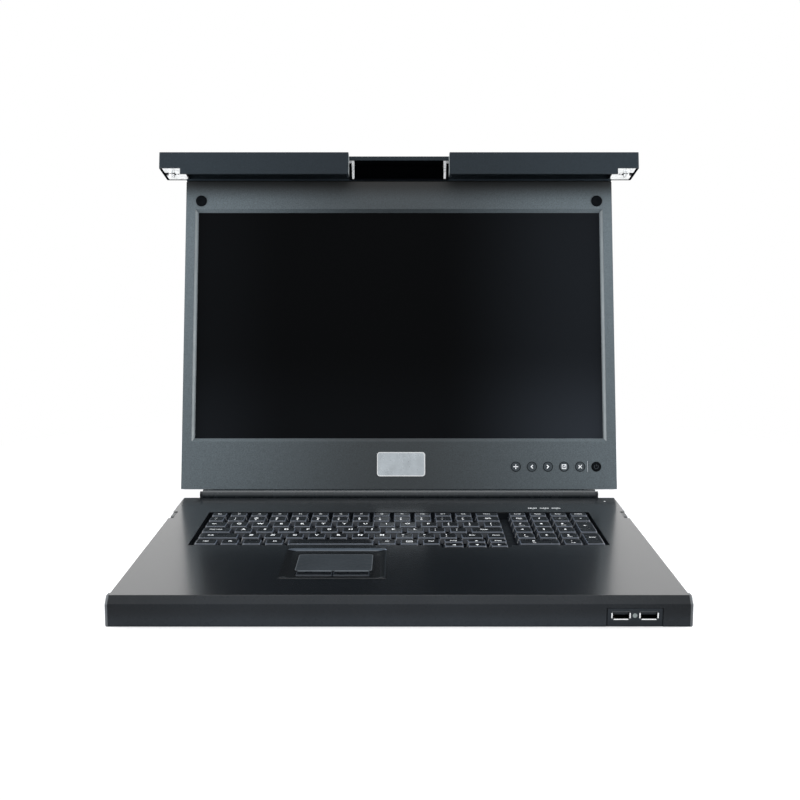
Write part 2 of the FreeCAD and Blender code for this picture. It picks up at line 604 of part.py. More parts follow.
def make_usb_module():
    front = "(%s + fit)" % LIP_FRONT
    body = [block("usb_face", ("usb_left + fit", front, "fit"),
                  ("usb_left + usb_width - fit", LIP_FRONT + " + lip_wall + 1.2", "usb_height - fit")),
            block("usb_shelf", ("usb_left + fit", front, "fit"),
                  ("usb_left + usb_width - fit", LIP_REAR + " - fit", "lip_wall")),
            block("usb_flange", ("usb_left - 3", LIP_FRONT + " + lip_wall", "lip_wall + fit"),
                  ("usb_left + usb_width + 3", LIP_FRONT + " + lip_wall + 1.2", "usb_height + 1.8"))]
    tools = []
    shells = []
    cores = []
    for number, place in enumerate(port_places()):
        half_wide = "port_wide / 2"
        half_tall = "port_tall / 2"
        tools.append(block("usb_window_%d" % number,
                           ("%s - %s" % (place, half_wide), LIP_FRONT + " - 1",
                            "port_height - %s" % half_tall),
                           ("%s + %s" % (place, half_wide), LIP_REAR + " + 5",
                            "port_height + %s" % half_tall)))
        start = "(%s + 0.4)" % LIP_FRONT
        shell = block("shell_outside_%d" % number,
                      ("%s - %s" % (place, half_wide), start, "port_height - %s" % half_tall),
                      ("%s + %s" % (place, half_wide), start + " + port_depth",
                       "port_height + %s" % half_tall))
        hollow = block("shell_inside_%d" % number,
                       ("%s - %s + port_skin" % (place, half_wide), start + " - 1",
                        "port_height - %s + port_skin" % half_tall),
                       ("%s + %s - port_skin" % (place, half_wide), start + " + port_depth - port_skin",
                        "port_height + %s - port_skin" % half_tall))
        shells.append(cut("port_shell_%d" % number, shell, [hollow]))
        rear = "(%s + port_depth - port_skin)" % start
        wall = block("core_wall_%d" % number,
                     ("%s - %s + port_skin" % (place, half_wide), rear + " - 1.5",
                      "port_height - %s + port_skin" % half_tall),
                     ("%s + %s - port_skin" % (place, half_wide), rear,
                      "port_height + %s - port_skin" % half_tall))
        tongue = block("core_tongue_%d" % number,
                       (place + " - 5.5", start + " + 2", "port_height + 0.15"),
                       (place + " + 5.5", rear, "port_height + 1.95"))
        cores.append(fuse("port_core_%d" % number, [wall, tongue]))
    tools.append(rod("usb_lamp_hole", ("usb_lamp_place", LIP_FRONT + " - 1", "port_height"), "y",
                     "usb_lamp_radius + pin_fit", "8"))
    piece("usb_module_face", cut("usb_face_cut", fuse("usb_body", body), tools))
    piece("usb_port_shells", group("usb_shell_set", shells))
    piece("usb_port_cores", group("usb_core_set", cores))


def make_lamps():
    back = "(%s + lip_wall + 1.2)" % LIP_FRONT
    lens = rod("usb_lens", ("usb_lamp_place", LIP_FRONT + " + 0.1", "port_height"), "y",
               "usb_lamp_radius", "lip_wall + 2")
    collar = rod("usb_lens_collar", ("usb_lamp_place", back, "port_height"), "y",
                 "usb_lamp_radius + 0.7", "0.9")
    lamps = [fuse("usb_lamp", [lens, collar])]
    for number in range(3):
        across = "lamp_first + %d * lamp_pitch" % number
        lens = rod("lock_lens_%d" % number, (across, "-lamp_row", DECK_UNDER + " - 1.5"), "z",
                   "lamp_radius", "steel + 1.6")
        collar = rod("lock_collar_%d" % number, (across, "-lamp_row", DECK_UNDER + " - 1.5"), "z",
                     "lamp_radius + 0.8", "1.5")
        lamps.append(fuse("lock_lamp_%d" % number, [lens, collar]))
    piece("indicator_lamps", group("lamp_set", lamps))


# ---------------------------------------------------------------- keyboard
def spread(widths, left):
    """Cells of a row as (left, right) expressions, from widths in key units."""
    cells = []
    start = 0.0
    for width in widths:
        cells.append(("%s + %.3f * key_pitch" % (left, start),
                      "%s + %.3f * key_pitch" % (left, start + width)))
        start += width
    return cells


MAIN = "-key_left"
PADLEFT = "numpad_left"
ONES = [1.0] * 12


def row_middle(number):
    """Y of the middle of a row; row 6 is the front one."""
    return "(-front_row + %d * row_pitch)" % (6 - number)


def key_rows():
    """Each moving row: its name and its keys as (cell, middle, depth)."""
    rows = {}
    deep = "key_depth"
    double = "(key_depth + row_pitch)"
    top = [(cell, "(-short_row)", "short_depth") for cell in
           spread([0.9] + ONES + [1.3], MAIN) + spread([1, 1, 1, 1], PADLEFT)]
    rows["function_keys"] = top
    rows["number_keys"] = [(cell, row_middle(2), deep) for cell in
                           spread([0.9] + ONES + [1.3], MAIN) + spread([1, 1, 1, 1], PADLEFT)]
    upper = spread([1.17] + ONES + [1.03], MAIN) + spread([1, 1, 1], PADLEFT)
    plus = spread([1, 1, 1, 1], PADLEFT)[3]
    rows["upper_letter_keys"] = [(cell, row_middle(3), deep) for cell in upper]
    rows["upper_letter_keys"].append((plus, "(%s - row_pitch / 2)" % row_middle(3), double))
    middle = spread([1.51] + ONES[:11] + [1.69], MAIN) + spread([1, 1, 1], PADLEFT)
    rows["home_row_keys"] = [(cell, row_middle(4), deep) for cell in middle]
    lower = spread([1.99] + ONES[:10] + [1.2, 1.01], MAIN) + spread([1, 1, 1], PADLEFT)
    rows["lower_letter_keys"] = [(cell, row_middle(5), deep) for cell in lower]
    rows["lower_letter_keys"].append((plus, "(%s - row_pitch / 2)" % row_middle(5), double))
    front = spread([1.17, 0.97, 1.02, 1.0, 4.05, 1.0, 1.0, 0.97, 1.04, 1.02, 0.95], MAIN)
    rows["space_bar"] = [(front[4], row_middle(6), deep)]
    rows["control_keys"] = [(cell, row_middle(6), deep) for cell in front[:4] + front[5:8]]
    for level in range(2):
        along = "(-arrow_row - %d * arrow_pitch)" % level
        rows["control_keys"] += [(cell, along, "arrow_depth") for cell in front[8:]]
    zero = spread([2, 1], PADLEFT)
    rows["control_keys"] += [(cell, row_middle(6), deep) for cell in zero]
    return rows


KEY_TURN = FreeCAD.Rotation(Vector(1, 0, 0), 90)


def key_cap(name, cell, along, depth):
    """A tapered cap with its stem. The wedge's own Z runs to the front."""
    left, right = cell
    cap = taper(name + "_cap", ("0", along, KEY_UNDER),
                (left + " + key_side", right + " - key_side", "-(%s) / 2" % depth, "%s / 2" % depth,
                 "key_height"),
                (left + " + key_side + key_inset", right + " - key_side - key_inset",
                 "-(%s) / 2 + 0.7 * key_inset" % depth, "%s / 2 - key_inset" % depth), KEY_TURN)
    across = "((%s + %s) / 2)" % (left, right)
    stem = block(name + "_stem",
                 (across + " - stem_side / 2", along + " - stem_side / 2", KEY_UNDER + " - stem_reach"),
                 (across + " + stem_side / 2", along + " + stem_side / 2", KEY_UNDER + " + 1"))
    return fuse(name, [cap, stem])


def make_keyboard():
    holes = []
    for label, keys in key_rows().items():
        caps = []
        for number, (cell, along, depth) in enumerate(keys):
            name = "%s_%d" % (label, number)
            caps.append(key_cap(name, cell, along, depth))
            across = "((%s + %s) / 2)" % cell
            half = "(stem_side / 2 + fit)"
            holes.append(block(name + "_hole", (across + " - " + half, along + " - " + half,
                                                PLATE_TOP + " - 2 * steel"),
                               (across + " + " + half, along + " + " + half, PLATE_TOP + " + 1")))
        piece(label, group(label + "_set", caps))
    wall = "tub_wall"
    left = "-keys_right - 1 - " + wall
    right = "keys_right + 1 + " + wall
    rear = "-keys_rear + 0.6 + " + wall
    front = "-step_front - 0.1 - 1"
    outside = block("keyboard_tub", (left, front, PLATE_TOP + " - steel"), (right, rear, DECK_UNDER))
    inside = block("keyboard_tub_inside", (left + " + " + wall, front + " + 1", PLATE_TOP),
                   (right + " - " + wall, rear + " - " + wall, DECK_UNDER + " + 1"))
    piece("keyboard_plate", cut("keyboard_plate_cut", outside, [inside] + holes))


# ---------------------------------------------------------------- touchpad
def make_touchpad():
    floor = "(deck_top - dish_drop)"
    left = "(-dish_left + fit)"
    right = "(-dish_left + dish_width - fit)"
    rear = "(-dish_rear - fit)"
    front = "(-dish_rear - dish_depth + fit)"
    tub = block("dish_block", (left, front, "deck_top - 6.5"), (right, rear, "deck_top"))
    flange = block("dish_flange", (left + " - 3", front + " - 3", DECK_UNDER + " - steel"),
                   (right + " + 3", rear, DECK_UNDER))
    outside = fuse("dish_outside", [tub, flange])
    edge = "0.6"
    dish = taper("dish_hollow", ("0", "0", "deck_top + 0.001"),
                 (left + " + " + edge, right + " - " + edge, front + " + " + edge, rear + " - " + edge,
                  "dish_drop + 0.001"),
                 (left + " + dish_slope", right + " - dish_slope", front + " + dish_slope",
                  rear + " - dish_slope"), FreeCAD.Rotation(Vector(1, 0, 0), -90))
    pad_low = "(%s - fit - pad_thickness)" % floor
    well = block("pad_well", ("-pad_left - fit", "-pad_rear - pad_depth - fit", pad_low),
                 ("-pad_left + pad_width + fit", "-pad_rear + fit", "deck_top"))
    button_well = block("touch_well", ("-touch_left - fit", "-touch_rear - touch_depth - fit",
                                       "deck_top - 4.2 - touch_travel - fit"),
                        ("-touch_left + touch_width + fit", "-touch_rear + fit", "deck_top"))
    piece("touchpad_frame", cut("touchpad_frame_cut", outside, [dish, well, button_well]))
    surface = block("pad_plate", ("-pad_left", "-pad_rear - pad_depth", pad_low),
                    ("-pad_left + pad_width", "-pad_rear", floor + " - fit"))
    piece("touchpad_surface", surface)
    for side, word in ((-1, "left"), (1, "right")):
        middle = "(-touch_left + touch_width / 2)"
        near, far = ("-touch_left", middle + " - 0.3") if side < 0 else (middle + " + 0.3",
                                                                          "-touch_left + touch_width")
        body = new_body("touch_body_" + word)
        sketch = sketch_on(body, "touch_outline_" + word, "XY_Plane", "deck_top - 4.2")
        draw(sketch, rectangle(near, far, "-touch_rear - touch_depth", "-touch_rear"))
        plate = pad(body, "touch_plate_" + word, sketch, "3.7")
        top = value("deck_top") - 0.5
        soften(body, "touch_round_" + word, plate, "0.8",
               lambda edge: abs(edge.CenterOfMass.z - top) < 1e-6, "PartDesign::Chamfer")
        piece("touch_button_" + word, body)


def make_levers():
    for side, word in ((-1, "left"), (1, "right")):
        middle = "(-notch_front + notch_length / 2 + lever_travel / 2)"
        half = "lever_length / 2"
        low = "(slide_centre + outer_half + 0.25)"
        flange = beside("lever_flange_" + word, side, DECK_HALF + " - 8", DECK_HALF + " - 0.6",
                        ("%s - %s - 1.5" % (middle, half), low),
                        ("%s + %s + 1.5" % (middle, half), DECK_UNDER + " - fit"))
        grip = beside("lever_grip_" + word, side, "deck_width / 2 - notch_depth + fit",
                      DECK_HALF + " - 0.6", ("%s - %s" % (middle, half), low),
                      ("%s + %s" % (middle, half), "deck_top - 0.3"))
        piece("slide_release_" + word, fuse("lever_" + word, [flange, grip]))


# ---------------------------------------------------------------- hinge
def make_hinge_brackets():
    for side, word in ((-1, "left"), (1, "right")):
        inner = "barrel_half + fit"
        outer = "barrel_half + fit + knuckle_width"
        arm = beside("bracket_arm_" + word, side, inner, outer, ("-knuckle_radius", "2"),
                     ("knuckle_radius", HINGE_HEIGHT))
        root = beside("bracket_root_" + word, side, inner, outer, (DECK_REAR, "2"),
                      ("0", DECK_UNDER))
        start = inner if side > 0 else "-(%s)" % outer
        knuckle = rod("bracket_knuckle_" + word, (start, "0", HINGE_HEIGHT), "x", "knuckle_radius",
                      "knuckle_width")
        foot = beside("bracket_foot_" + word, side, "bay_width / 2 + fit", outer,
                      (DECK_REAR, "2"), (DECK_REAR + " + 1.5", "bay_low"))
        pin_start = "barrel_half - pin_length" if side > 0 else "-(%s)" % outer
        pin = rod("bracket_pin_" + word, (pin_start, "0", HINGE_HEIGHT), "x", "pin_radius",
                  "pin_length + fit + knuckle_width")
        piece("hinge_bracket_" + word, fuse("bracket_" + word, [arm, root, knuckle, foot, pin]))


def leaf_places():
    return ["(%d * leaf_spacing)" % number for number in (-2, -1, 0, 1)]


def make_hinge_barrel():
    tube = rod("barrel_tube", ("-barrel_half", "0", "0"), "x", "barrel_radius", "2 * barrel_half")
    shapes = [tube]
    for number, place in enumerate(leaf_places()):
        shapes.append(block("leaf_%d" % number, (place + " - leaf_width / 2", "leaf_back", "0"),
                            (place + " + leaf_width / 2", "leaf_back + leaf_thickness", "leaf_reach")))
    bores = [rod("barrel_bore_" + word, (start, "0", "0"), "x", "pin_radius + pin_fit",
                 "pin_length + 2")
             for word, start in (("left", "-barrel_half - 1"), ("right", "barrel_half - pin_length - 1"))]
    on_display("hinge_barrel", cut("barrel_bored", fuse("barrel_leaves", shapes), bores))


# ---------------------------------------------------------------- rear bay
def make_rear_bay():
    cover = [block("cover_low", ("-" + BAY_HALF, DECK_REAR, "bay_low - steel"),
                   (BAY_HALF, "bay_step + steel", "bay_low")),
             block("cover_rise", ("-" + BAY_HALF, "bay_step", "bay_low - steel"),
                   (BAY_HALF, "bay_step + steel", "bay_height")),
             block("cover_top", ("-" + BAY_HALF, "bay_step", "bay_height - steel"),
                   (BAY_HALF, "bay_depth", "bay_height"))]
    for side, word in ((-1, "left"), (1, "right")):
        cover.append(beside("cover_side_" + word, side, "bay_width / 2 - steel", BAY_HALF,
                            ("bay_step", "bay_low - steel"), ("bay_depth", "bay_height")))
    piece("rear_bay_cover", fuse("bay_cover", cover))
    plate = block("rear_plate", ("-" + BAY_HALF, "bay_depth", "0"),
                  (BAY_HALF, "bay_depth + steel", "bay_height"))
    windows = []
    ports = (("inlet", "inlet_place", "inlet_wide", "inlet_tall", "inlet_height"),
             ("video", "video_place", "video_wide - 6", "video_tall - 2", "video_level"),
             ("usb_b", "usb_b_place", "usb_b_wide", "usb_b_tall", "usb_b_level"))
    levels = {"video_level": "(board_height + board_thickness + video_tall / 2)",
              "usb_b_level": "(board_height + board_thickness + usb_b_tall / 2)"}
    for name, place, wide, tall, level in ports:
        level = levels.get(level, level)
        windows.append(block("window_" + name,
                             ("%s - (%s) / 2 - fit" % (place, wide), "bay_depth - 1",
                              "%s - (%s) / 2 - fit" % (level, tall)),
                             ("%s + (%s) / 2 + fit" % (place, wide), "bay_depth + steel + 1",
                              "%s + (%s) / 2 + fit" % (level, tall))))
    piece("rear_panel", cut("rear_plate_cut", plate, windows))


def make_power_inlet():
    low = ("inlet_place - inlet_wide / 2", "bay_depth + steel - inlet_depth",
           "inlet_height - inlet_tall / 2")
    high = ("inlet_place + inlet_wide / 2", "bay_depth + steel", "inlet_height + inlet_tall / 2")
    body = block("inlet_body", low, high)
    rim = block("inlet_rim", ("inlet_place - inlet_wide / 2 - 1.5", "bay_depth + steel",
                              "inlet_height - inlet_tall / 2 - 1.5"),
                ("inlet_place + inlet_wide / 2 + 1.5", "bay_depth + steel + 1.5",
                 "inlet_height + inlet_tall / 2 + 1.5"))
    well = block("inlet_well", ("inlet_place - inlet_wide / 2 + 1.5", "bay_depth + steel + 3 - inlet_depth",
                                "inlet_height - inlet_tall / 2 + 1.5"),
                 ("inlet_place + inlet_wide / 2 - 1.5", "bay_depth + steel + 3",
                  "inlet_height + inlet_tall / 2 - 1.5"))
    blades = [block("blade_%d" % number,
                    ("inlet_place + %d * 7 - 1" % step, "bay_depth + steel + 2 - inlet_depth",
                     "inlet_height + %s - 2" % up),
                    ("inlet_place + %d * 7 + 1" % step, "bay_depth + steel - 4",
                     "inlet_height + %s + 2" % up))
              for number, (step, up) in enumerate(((-1, "-2.5"), (0, "1.5"), (1, "-2.5")))]
    piece("power_inlet", fuse("inlet_whole", [cut("inlet_shell", fuse("inlet_outside", [body, rim]),
                                                  [well])] + blades))


def make_electronics():
    top = "(board_height + board_thickness)"
    board = block("board_sheet", ("board_left", "bay_depth - board_depth", "board_height"),
                  ("board_left + board_width", "bay_depth - fit", top))
    chip = block("board_chip", ("board_left + 65", "bay_depth - board_depth + 8", top),
                 ("board_left + 85", "bay_depth - board_depth + 28", top + " + 2"))
    piece("main_board", fuse("board_parts", [board, chip]))
    video = [block("video_body", ("video_place - video_wide / 2", "bay_depth - 12", top),
                   ("video_place + video_wide / 2", "bay_depth - fit", top + " + video_tall")),
             block("video_nose", ("video_place - video_wide / 2 + 3", "bay_depth - 2", top + " + 1"),
                   ("video_place + video_wide / 2 - 3", "bay_depth + steel + 5", top + " + video_tall - 1"))]
    cup = block("usb_b_cup", ("usb_b_place - usb_b_wide / 2", "bay_depth - 15", top),
                ("usb_b_place + usb_b_wide / 2", "bay_depth + steel + 0.5", top + " + usb_b_tall"))
    well = block("usb_b_well", ("usb_b_place - usb_b_wide / 2 + 1.6", "bay_depth - 8", top + " + 1.6"),
                 ("usb_b_place + usb_b_wide / 2 - 1.6", "bay_depth + steel + 2",
                  top + " + usb_b_tall - 1.6"))
    key = block("usb_b_key", ("usb_b_place - 2.8", "bay_depth - 9", top + " + usb_b_tall / 2 - 1.6"),
                ("usb_b_place + 2.8", "bay_depth - 1", top + " + usb_b_tall / 2 + 1.6"))
    piece("rear_ports", group("rear_port_set", [fuse("video_port", video),
                                                fuse("usb_b_port", [cut("usb_b_shell", cup, [well]), key])]))
    front = "bay_depth - supply_back - supply_depth"
    supply = block("supply_case", ("supply_left", front, "steel"),
                   ("supply_left + supply_width", "bay_depth - supply_back", "steel + supply_height"))
    piece("power_supply", supply)


# ---------------------------------------------------------------- display
def button_places():
    menu = [("menu_button_%d" % (number + 1), "(button_first + %d * button_pitch)" % number)
            for number in range(5)]
    return menu + [("display_power_button", "power_place")]


def post_places():
    return [("(%d * post_place)" % side, low) for low in ("(hinge_drop + post_low)",
                                                          "(hinge_drop + post_high)")
            for side in (-1, 1)]


def make_bezel():
    body = new_body("bezel_sheet")
    outline = sketch_on(body, "bezel_outline", "XZ_Plane", "-(%s + bezel_thickness)" % FACE)
    draw(outline, rectangle("-" + CASE_HALF, CASE_HALF, "hinge_drop", CASE_TOP + " - top_reveal"))
    for name, place in button_places():
        bore(outline, place, "hinge_drop + button_low", "button_radius + button_fit")
    pad(body, "bezel_plate", outline, "bezel_thickness")
    low = "(hinge_drop + screen_low)"
    high = "(hinge_drop + screen_low + screen_height)"
    margin = "(rim_width + 1.5)"
    behind = "(%s + rim_depth)" % FACE
    rim = block("screen_rim", ("-screen_width / 2 - " + margin, FACE, low + " - " + margin),
                ("screen_width / 2 + " + margin, behind, high + " + " + margin))
    posts = [rod("bezel_post_%d" % number, (across, FACE + " + 0.5", up), "y", "post_radius",
                 "display_thickness - steel - 0.5")
             for number, (across, up) in enumerate(post_places())]
    posts += [block("leaf_boss_%d" % number, (place + " - leaf_width / 3", FACE + " + 1",
                                              "leaf_reach - 9"),
                    (place + " + leaf_width / 3", "leaf_back", "leaf_reach - 1"))
              for number, place in enumerate(leaf_places())]
    threads = [rod("post_bore_%d" % number, (across, BACK + " - 9", up), "y", "screw_radius + pin_fit",
                   "10") for number, (across, up) in enumerate(post_places())]
    # the wedge's own Y runs back, and its Z is the display's Z
    funnel = taper("screen_funnel", ("0", FACE, "0"),
                   ("-screen_width / 2 - rim_width", "screen_width / 2 + rim_width", low + " - rim_width",
                    high + " + rim_width", "rim_depth"),
                   ("-screen_width / 2", "screen_width / 2", low, high), FreeCAD.Rotation())
    groove = block("bezel_groove", ("groove_place - groove_width / 2", FACE + " - 1",
                                    "hinge_drop + button_low - groove_height / 2"),
                   ("groove_place + groove_width / 2", FACE + " + 0.5",
                    "hinge_drop + button_low + groove_height / 2"))
    sockets = [rod("bumper_socket_" + word, ("%d * bumper_place" % side, FACE + " - 1",
                                             "hinge_drop + bumper_low"), "y", "2 + pin_fit", "5")
               for side, word in ((-1, "left"), (1, "right"))]
    whole = fuse("bezel_whole", [body, rim] + posts)
    on_display("display_bezel", cut("bezel_cut", whole, [funnel, groove] + sockets + threads))


def make_back_cover():
    outside = block("case_outside", ("-" + CASE_HALF, FACE + " + bezel_thickness", "hinge_drop"),
                    (CASE_HALF, BACK, CASE_TOP))
    inside = block("case_inside", ("-%s + steel" % CASE_HALF, FACE, "hinge_drop + steel"),
                   (CASE_HALF + " - steel", BACK + " - steel", CASE_TOP + " - steel"))
    slots = [block("leaf_slot_%d" % number,
                   (place + " - leaf_width / 2 - fit", "leaf_back - fit", "hinge_drop - 1"),
                   (place + " + leaf_width / 2 + fit", "leaf_back + leaf_thickness + fit",
                    "hinge_drop + steel + 1")) for number, place in enumerate(leaf_places())]
    sinks = [cone("case_sink_%d" % number, (across, BACK + " - steel - 0.01", up), "y",
                  "screw_radius + pin_fit", "head_radius + pin_fit", "steel + 0.02")
             for number, (across, up) in enumerate(post_places())]
    vents = []
    for number in range(-6, 7):
        for row in range(2):
            across = "%d * vent_pitch" % number
            up = "(%s - vent_drop + %d * vent_step)" % (CASE_TOP, row)
            vents.append(block("vent_%d_%d" % (number, row),
                               (across + " - vent_width / 2", BACK + " - 2 * steel", up),
                               (across + " + vent_width / 2", BACK + " + 1", up + " + vent_length")))
    on_display("display_back_cover", cut("case_cut", outside, [inside] + slots + sinks + vents))


def make_display_screws():
    screws = []
    for number, (across, up) in enumerate(post_places()):
        name = "display_screw_%d" % number
        head = cone(name + "_head", (across, BACK + " - steel", up), "y", "screw_radius", "head_radius",
                    "steel")
        shank = rod(name + "_shank", (across, BACK + " - steel - 7", up), "y", "screw_radius", "7")
        screws.append(fuse(name, [head, shank]))
    on_display("display_screws", group("display_screw_set", screws))


def make_screen():
    low = "(hinge_drop + screen_low)"
    high = "(hinge_drop + screen_low + screen_height)"
    front = "(%s + rim_depth)" % FACE
    back = "(%s + rim_depth + glass_thickness)" % FACE
    glass = block("glass", ("-screen_width / 2 - glass_margin", front, low + " - glass_margin"),
                  ("screen_width / 2 + glass_margin", back, high + " + glass_margin"))
    on_display("screen_glass", glass)
    module = [block("panel_case", ("-screen_width / 2 - module_margin", back, low + " - module_margin"),
                    ("screen_width / 2 + module_margin", back + " + module_depth",
                     high + " + module_margin"))]
    on_display("lcd_module", module[0])
    rear = "(%s + module_depth)" % back
    board = block("driver_sheet", ("-120", rear + " + steel", "95"),
                  ("40", rear + " + 2 * steel", "175"))
    spacers = [block("driver_spacer_%d" % number, (left, rear, "97"), (right, rear + " + steel", "173"))
               for number, (left, right) in enumerate((("-118", "-112"), ("32", "38")))]
    on_display("display_driver_board", fuse("driver_board", [board] + spacers))
    start = "(%s + menu_board_back)" % FACE
    shelf = block("menu_sheet", ("button_first - 10", start, "hinge_drop + button_low - 5.5"),
                  ("power_place + 10", start + " + 1.2", "hinge_drop + button_low + 5.5"))
    feet = [rod("menu_foot_%d" % number, (across, FACE + " + bezel_thickness", "hinge_drop + button_low"),
                "y", "1.8", "menu_board_back - bezel_thickness")
            for number, across in enumerate(("button_first - 8", "power_place + 8"))]
    on_display("menu_board", fuse("menu_board_whole", [shelf] + feet))


def make_buttons():
    for name, place in button_places():
        up = "hinge_drop + button_low"
        cap = rod(name + "_cap", (place, FACE + " - button_rise", up), "y", "button_radius",
                  "button_rise + bezel_thickness + 0.6")
        collar = rod(name + "_collar", (place, FACE + " + bezel_thickness + seam", up), "y",
                     "button_radius + 0.8", "0.6")
        stem = rod(name + "_stem", (place, FACE, up), "y", "1.5",
                   "menu_board_back - button_travel - 3 * seam")
        on_display(name, fuse(name + "_whole", [cap, collar, stem]))


def make_badge_and_bumpers():
    body = new_body("badge_body")
    sketch = sketch_on(body, "badge_outline", "XZ_Plane", "-(%s)" % FACE)
    draw(sketch, rectangle("-badge_left", "-badge_left + badge_width", "hinge_drop + badge_low",
                           "hinge_drop + badge_low + badge_height"))
    plate = pad(body, "badge_plate_pad", sketch, "badge_thickness")
    soften(body, "badge_corners", plate, "badge_corner", lambda edge: runs_along(edge, Vector(0, 1, 0)))
    on_display("badge_plate", body)
    bumpers = []
    for side, word in ((-1, "left"), (1, "right")):
        place = "%d * bumper_place" % side
        up = "hinge_drop + bumper_low"
        dome = cone("bumper_dome_" + word, (place, FACE + " - bumper_rise", up), "y",
                    "bumper_radius - bumper_rise", "bumper_radius", "bumper_rise")
        stem = rod("bumper_stem_" + word, (place, FACE, up), "y", "2", "2.5")
        bumpers.append(fuse("bumper_" + word, [dome, stem]))
    on_display("display_bumpers", group("bumper_set", bumpers))


# ---------------------------------------------------------------- front panel
def guide_distances():
    return ["(tab_place + guide_inset)", "(tab_place + guide_inset + guide_pitch)"]


def guide_places(side):
    return ["(%d * %s)" % (side, place) for place in guide_distances()]


def make_front_panel():
    """A C-shaped shell with dropped ears, open towards the display, and a hand recess in its middle."""
    body = new_body("panel_shell")
    mask = sketch_on(body, "panel_mask", "XZ_Plane", "-(%s)" % BACK)
    draw(mask, [("-" + PANEL_HALF, EAR_LOW), ("-ear_start", EAR_LOW), ("-ear_start", CASE_TOP),
                ("ear_start", CASE_TOP), ("ear_start", EAR_LOW), (PANEL_HALF, EAR_LOW),
                (PANEL_HALF, PANEL_TOP), ("-" + PANEL_HALF, PANEL_TOP)])
    shell = pad(body, "panel_solid", mask, "panel_height")
    half = value(PANEL_HALF)
    soften(body, "panel_corners", shell, "1.5",
           lambda edge: runs_along(edge, Vector(0, 0, 1)) and abs(abs(edge.CenterOfMass.x) - half) < 1e-6)
    hollow = block("panel_hollow", ("-%s + panel_wall" % PANEL_HALF, PANEL_FRONT + " + panel_wall",
                                    CASE_TOP + " - 1"),
                   (PANEL_HALF + " - panel_wall", BACK + " - panel_wall", PANEL_INNER))
    recess = block("hand_recess", ("-hand_half", PANEL_FRONT + " - 1", CASE_TOP + " - 1"),
                   ("hand_half", PANEL_FRONT + " + hand_depth", PANEL_TOP + " + 1"))
    shape = [cut("panel_hollowed", body, [hollow, recess])]
    for side, word in ((-1, "left"), (1, "right")):
        shape.append(beside("recess_wall_" + word, side, "hand_half", "hand_half + panel_wall",
                            (PANEL_FRONT, CASE_TOP), (PANEL_FRONT + " + hand_depth", PANEL_TOP)))
        for number, place in enumerate(guide_places(side)):
            shape.append(rod("guide_%s_%d" % (word, number), (place, PANEL_MIDDLE, PANEL_INNER + " - 3"),
                             "z", "guide_radius", "4"))
    shape.append(block("recess_lip", ("-hand_half - panel_wall", PANEL_FRONT + " + hand_depth",
                                      PANEL_TOP + " - hand_lip"),
                       ("hand_half + panel_wall", PANEL_FRONT + " + hand_depth + 1.5", PANEL_TOP)))
    shape.append(block("panel_seat", ("-" + CASE_HALF, FACE, CASE_TOP),
                       (CASE_HALF, BACK, CASE_TOP + " + 1.5")))
    on_display("front_panel_shell", fuse("panel_whole", shape))


def make_ear_plates():
    low = EAR_LOW
    high = "(%s + 1.5)" % EAR_LOW
    slot_half = "(stud_radius + 0.4)"
    for side, word in ((-1, "left"), (1, "right")):
        plate = beside("ear_sheet_" + word, side, "plate_inner", PANEL_HALF + " - panel_wall",
                       (PANEL_FRONT + " + panel_wall + fit", low), (BACK + " - panel_wall - fit", high))
        slot = beside("ear_slot_" + word, side, STUD_PLACE, STUD_PLACE + " + 12",
                      (PANEL_MIDDLE + " - " + slot_half, low + " - 1"),
                      (PANEL_MIDDLE + " + " + slot_half, high + " + 1"))
        eye = rod("ear_eye_" + word, ("%d * %s" % (side, STUD_PLACE), PANEL_MIDDLE, low + " - 1"), "z",
                  slot_half, "4")
        dot = rod("ear_dot_" + word, ("%d * (%s - 6.8)" % (side, STUD_PLACE), PANEL_MIDDLE, low + " - 1"),
                  "z", "0.8", "4")
        on_display("ear_plate_" + word, cut("ear_cut_" + word, plate, [slot, eye, dot]))


def make_latches():
    top = "(%s - latch_gap)" % PANEL_INNER
    low = "(%s - latch_gap - latch_thickness)" % PANEL_INNER
    near = "(%s - latch_width / 2)" % PANEL_MIDDLE
    far = "(%s + latch_width / 2)" % PANEL_MIDDLE
    for side, word in ((-1, "left"), (1, "right")):
        strip = beside("latch_strip_" + word, side, "tab_place", STUD_PLACE + " + stud_radius",
                       (near, low), (far, top))
        rear = "(-hinge_setback - 0.4)"
        tab = new_body("latch_tab_" + word)
        start = "tab_place" if side > 0 else "-tab_place - tab_thickness"
        profile = sketch_on(tab, "latch_tab_outline_" + word, "YZ_Plane", start)
        tip = PANEL_TOP + " - hand_lip - tab_drop"
        draw(profile, [(PANEL_FRONT + " + tab_setback", tip), (rear + " - tab_foot", CASE_TOP + " + 1.3"),
                       (rear, CASE_TOP + " + 1.3"), (rear, tip)])
        pad(tab, "latch_tab_plate_" + word, profile, "tab_thickness")
        neck = beside("latch_neck_" + word, side, "tab_place", "tab_place + tab_thickness",
                      (near, CASE_TOP + " + 6"), (rear, top))
        stud = rod("latch_stud_" + word, ("%d * %s" % (side, STUD_PLACE), PANEL_MIDDLE,
                                          EAR_LOW + " - stud_reach"), "z", "stud_radius",
                   "%s - (%s - stud_reach)" % (top, EAR_LOW))
        slots = [beside("latch_slot_%s_%d" % (word, number), side,
                        "%s - latch_travel - guide_radius - fit" % place,
                        "%s + guide_radius + fit" % place,
                        (PANEL_MIDDLE + " - guide_radius - fit", low + " - 1"),
                        (PANEL_MIDDLE + " + guide_radius + fit", top + " + 1"))
                 for number, place in enumerate(guide_distances())]
        whole = fuse("latch_whole_" + word, [strip, tab, neck, stud])
        on_display("panel_latch_" + word, cut("latch_cut_" + word, whole, slots))


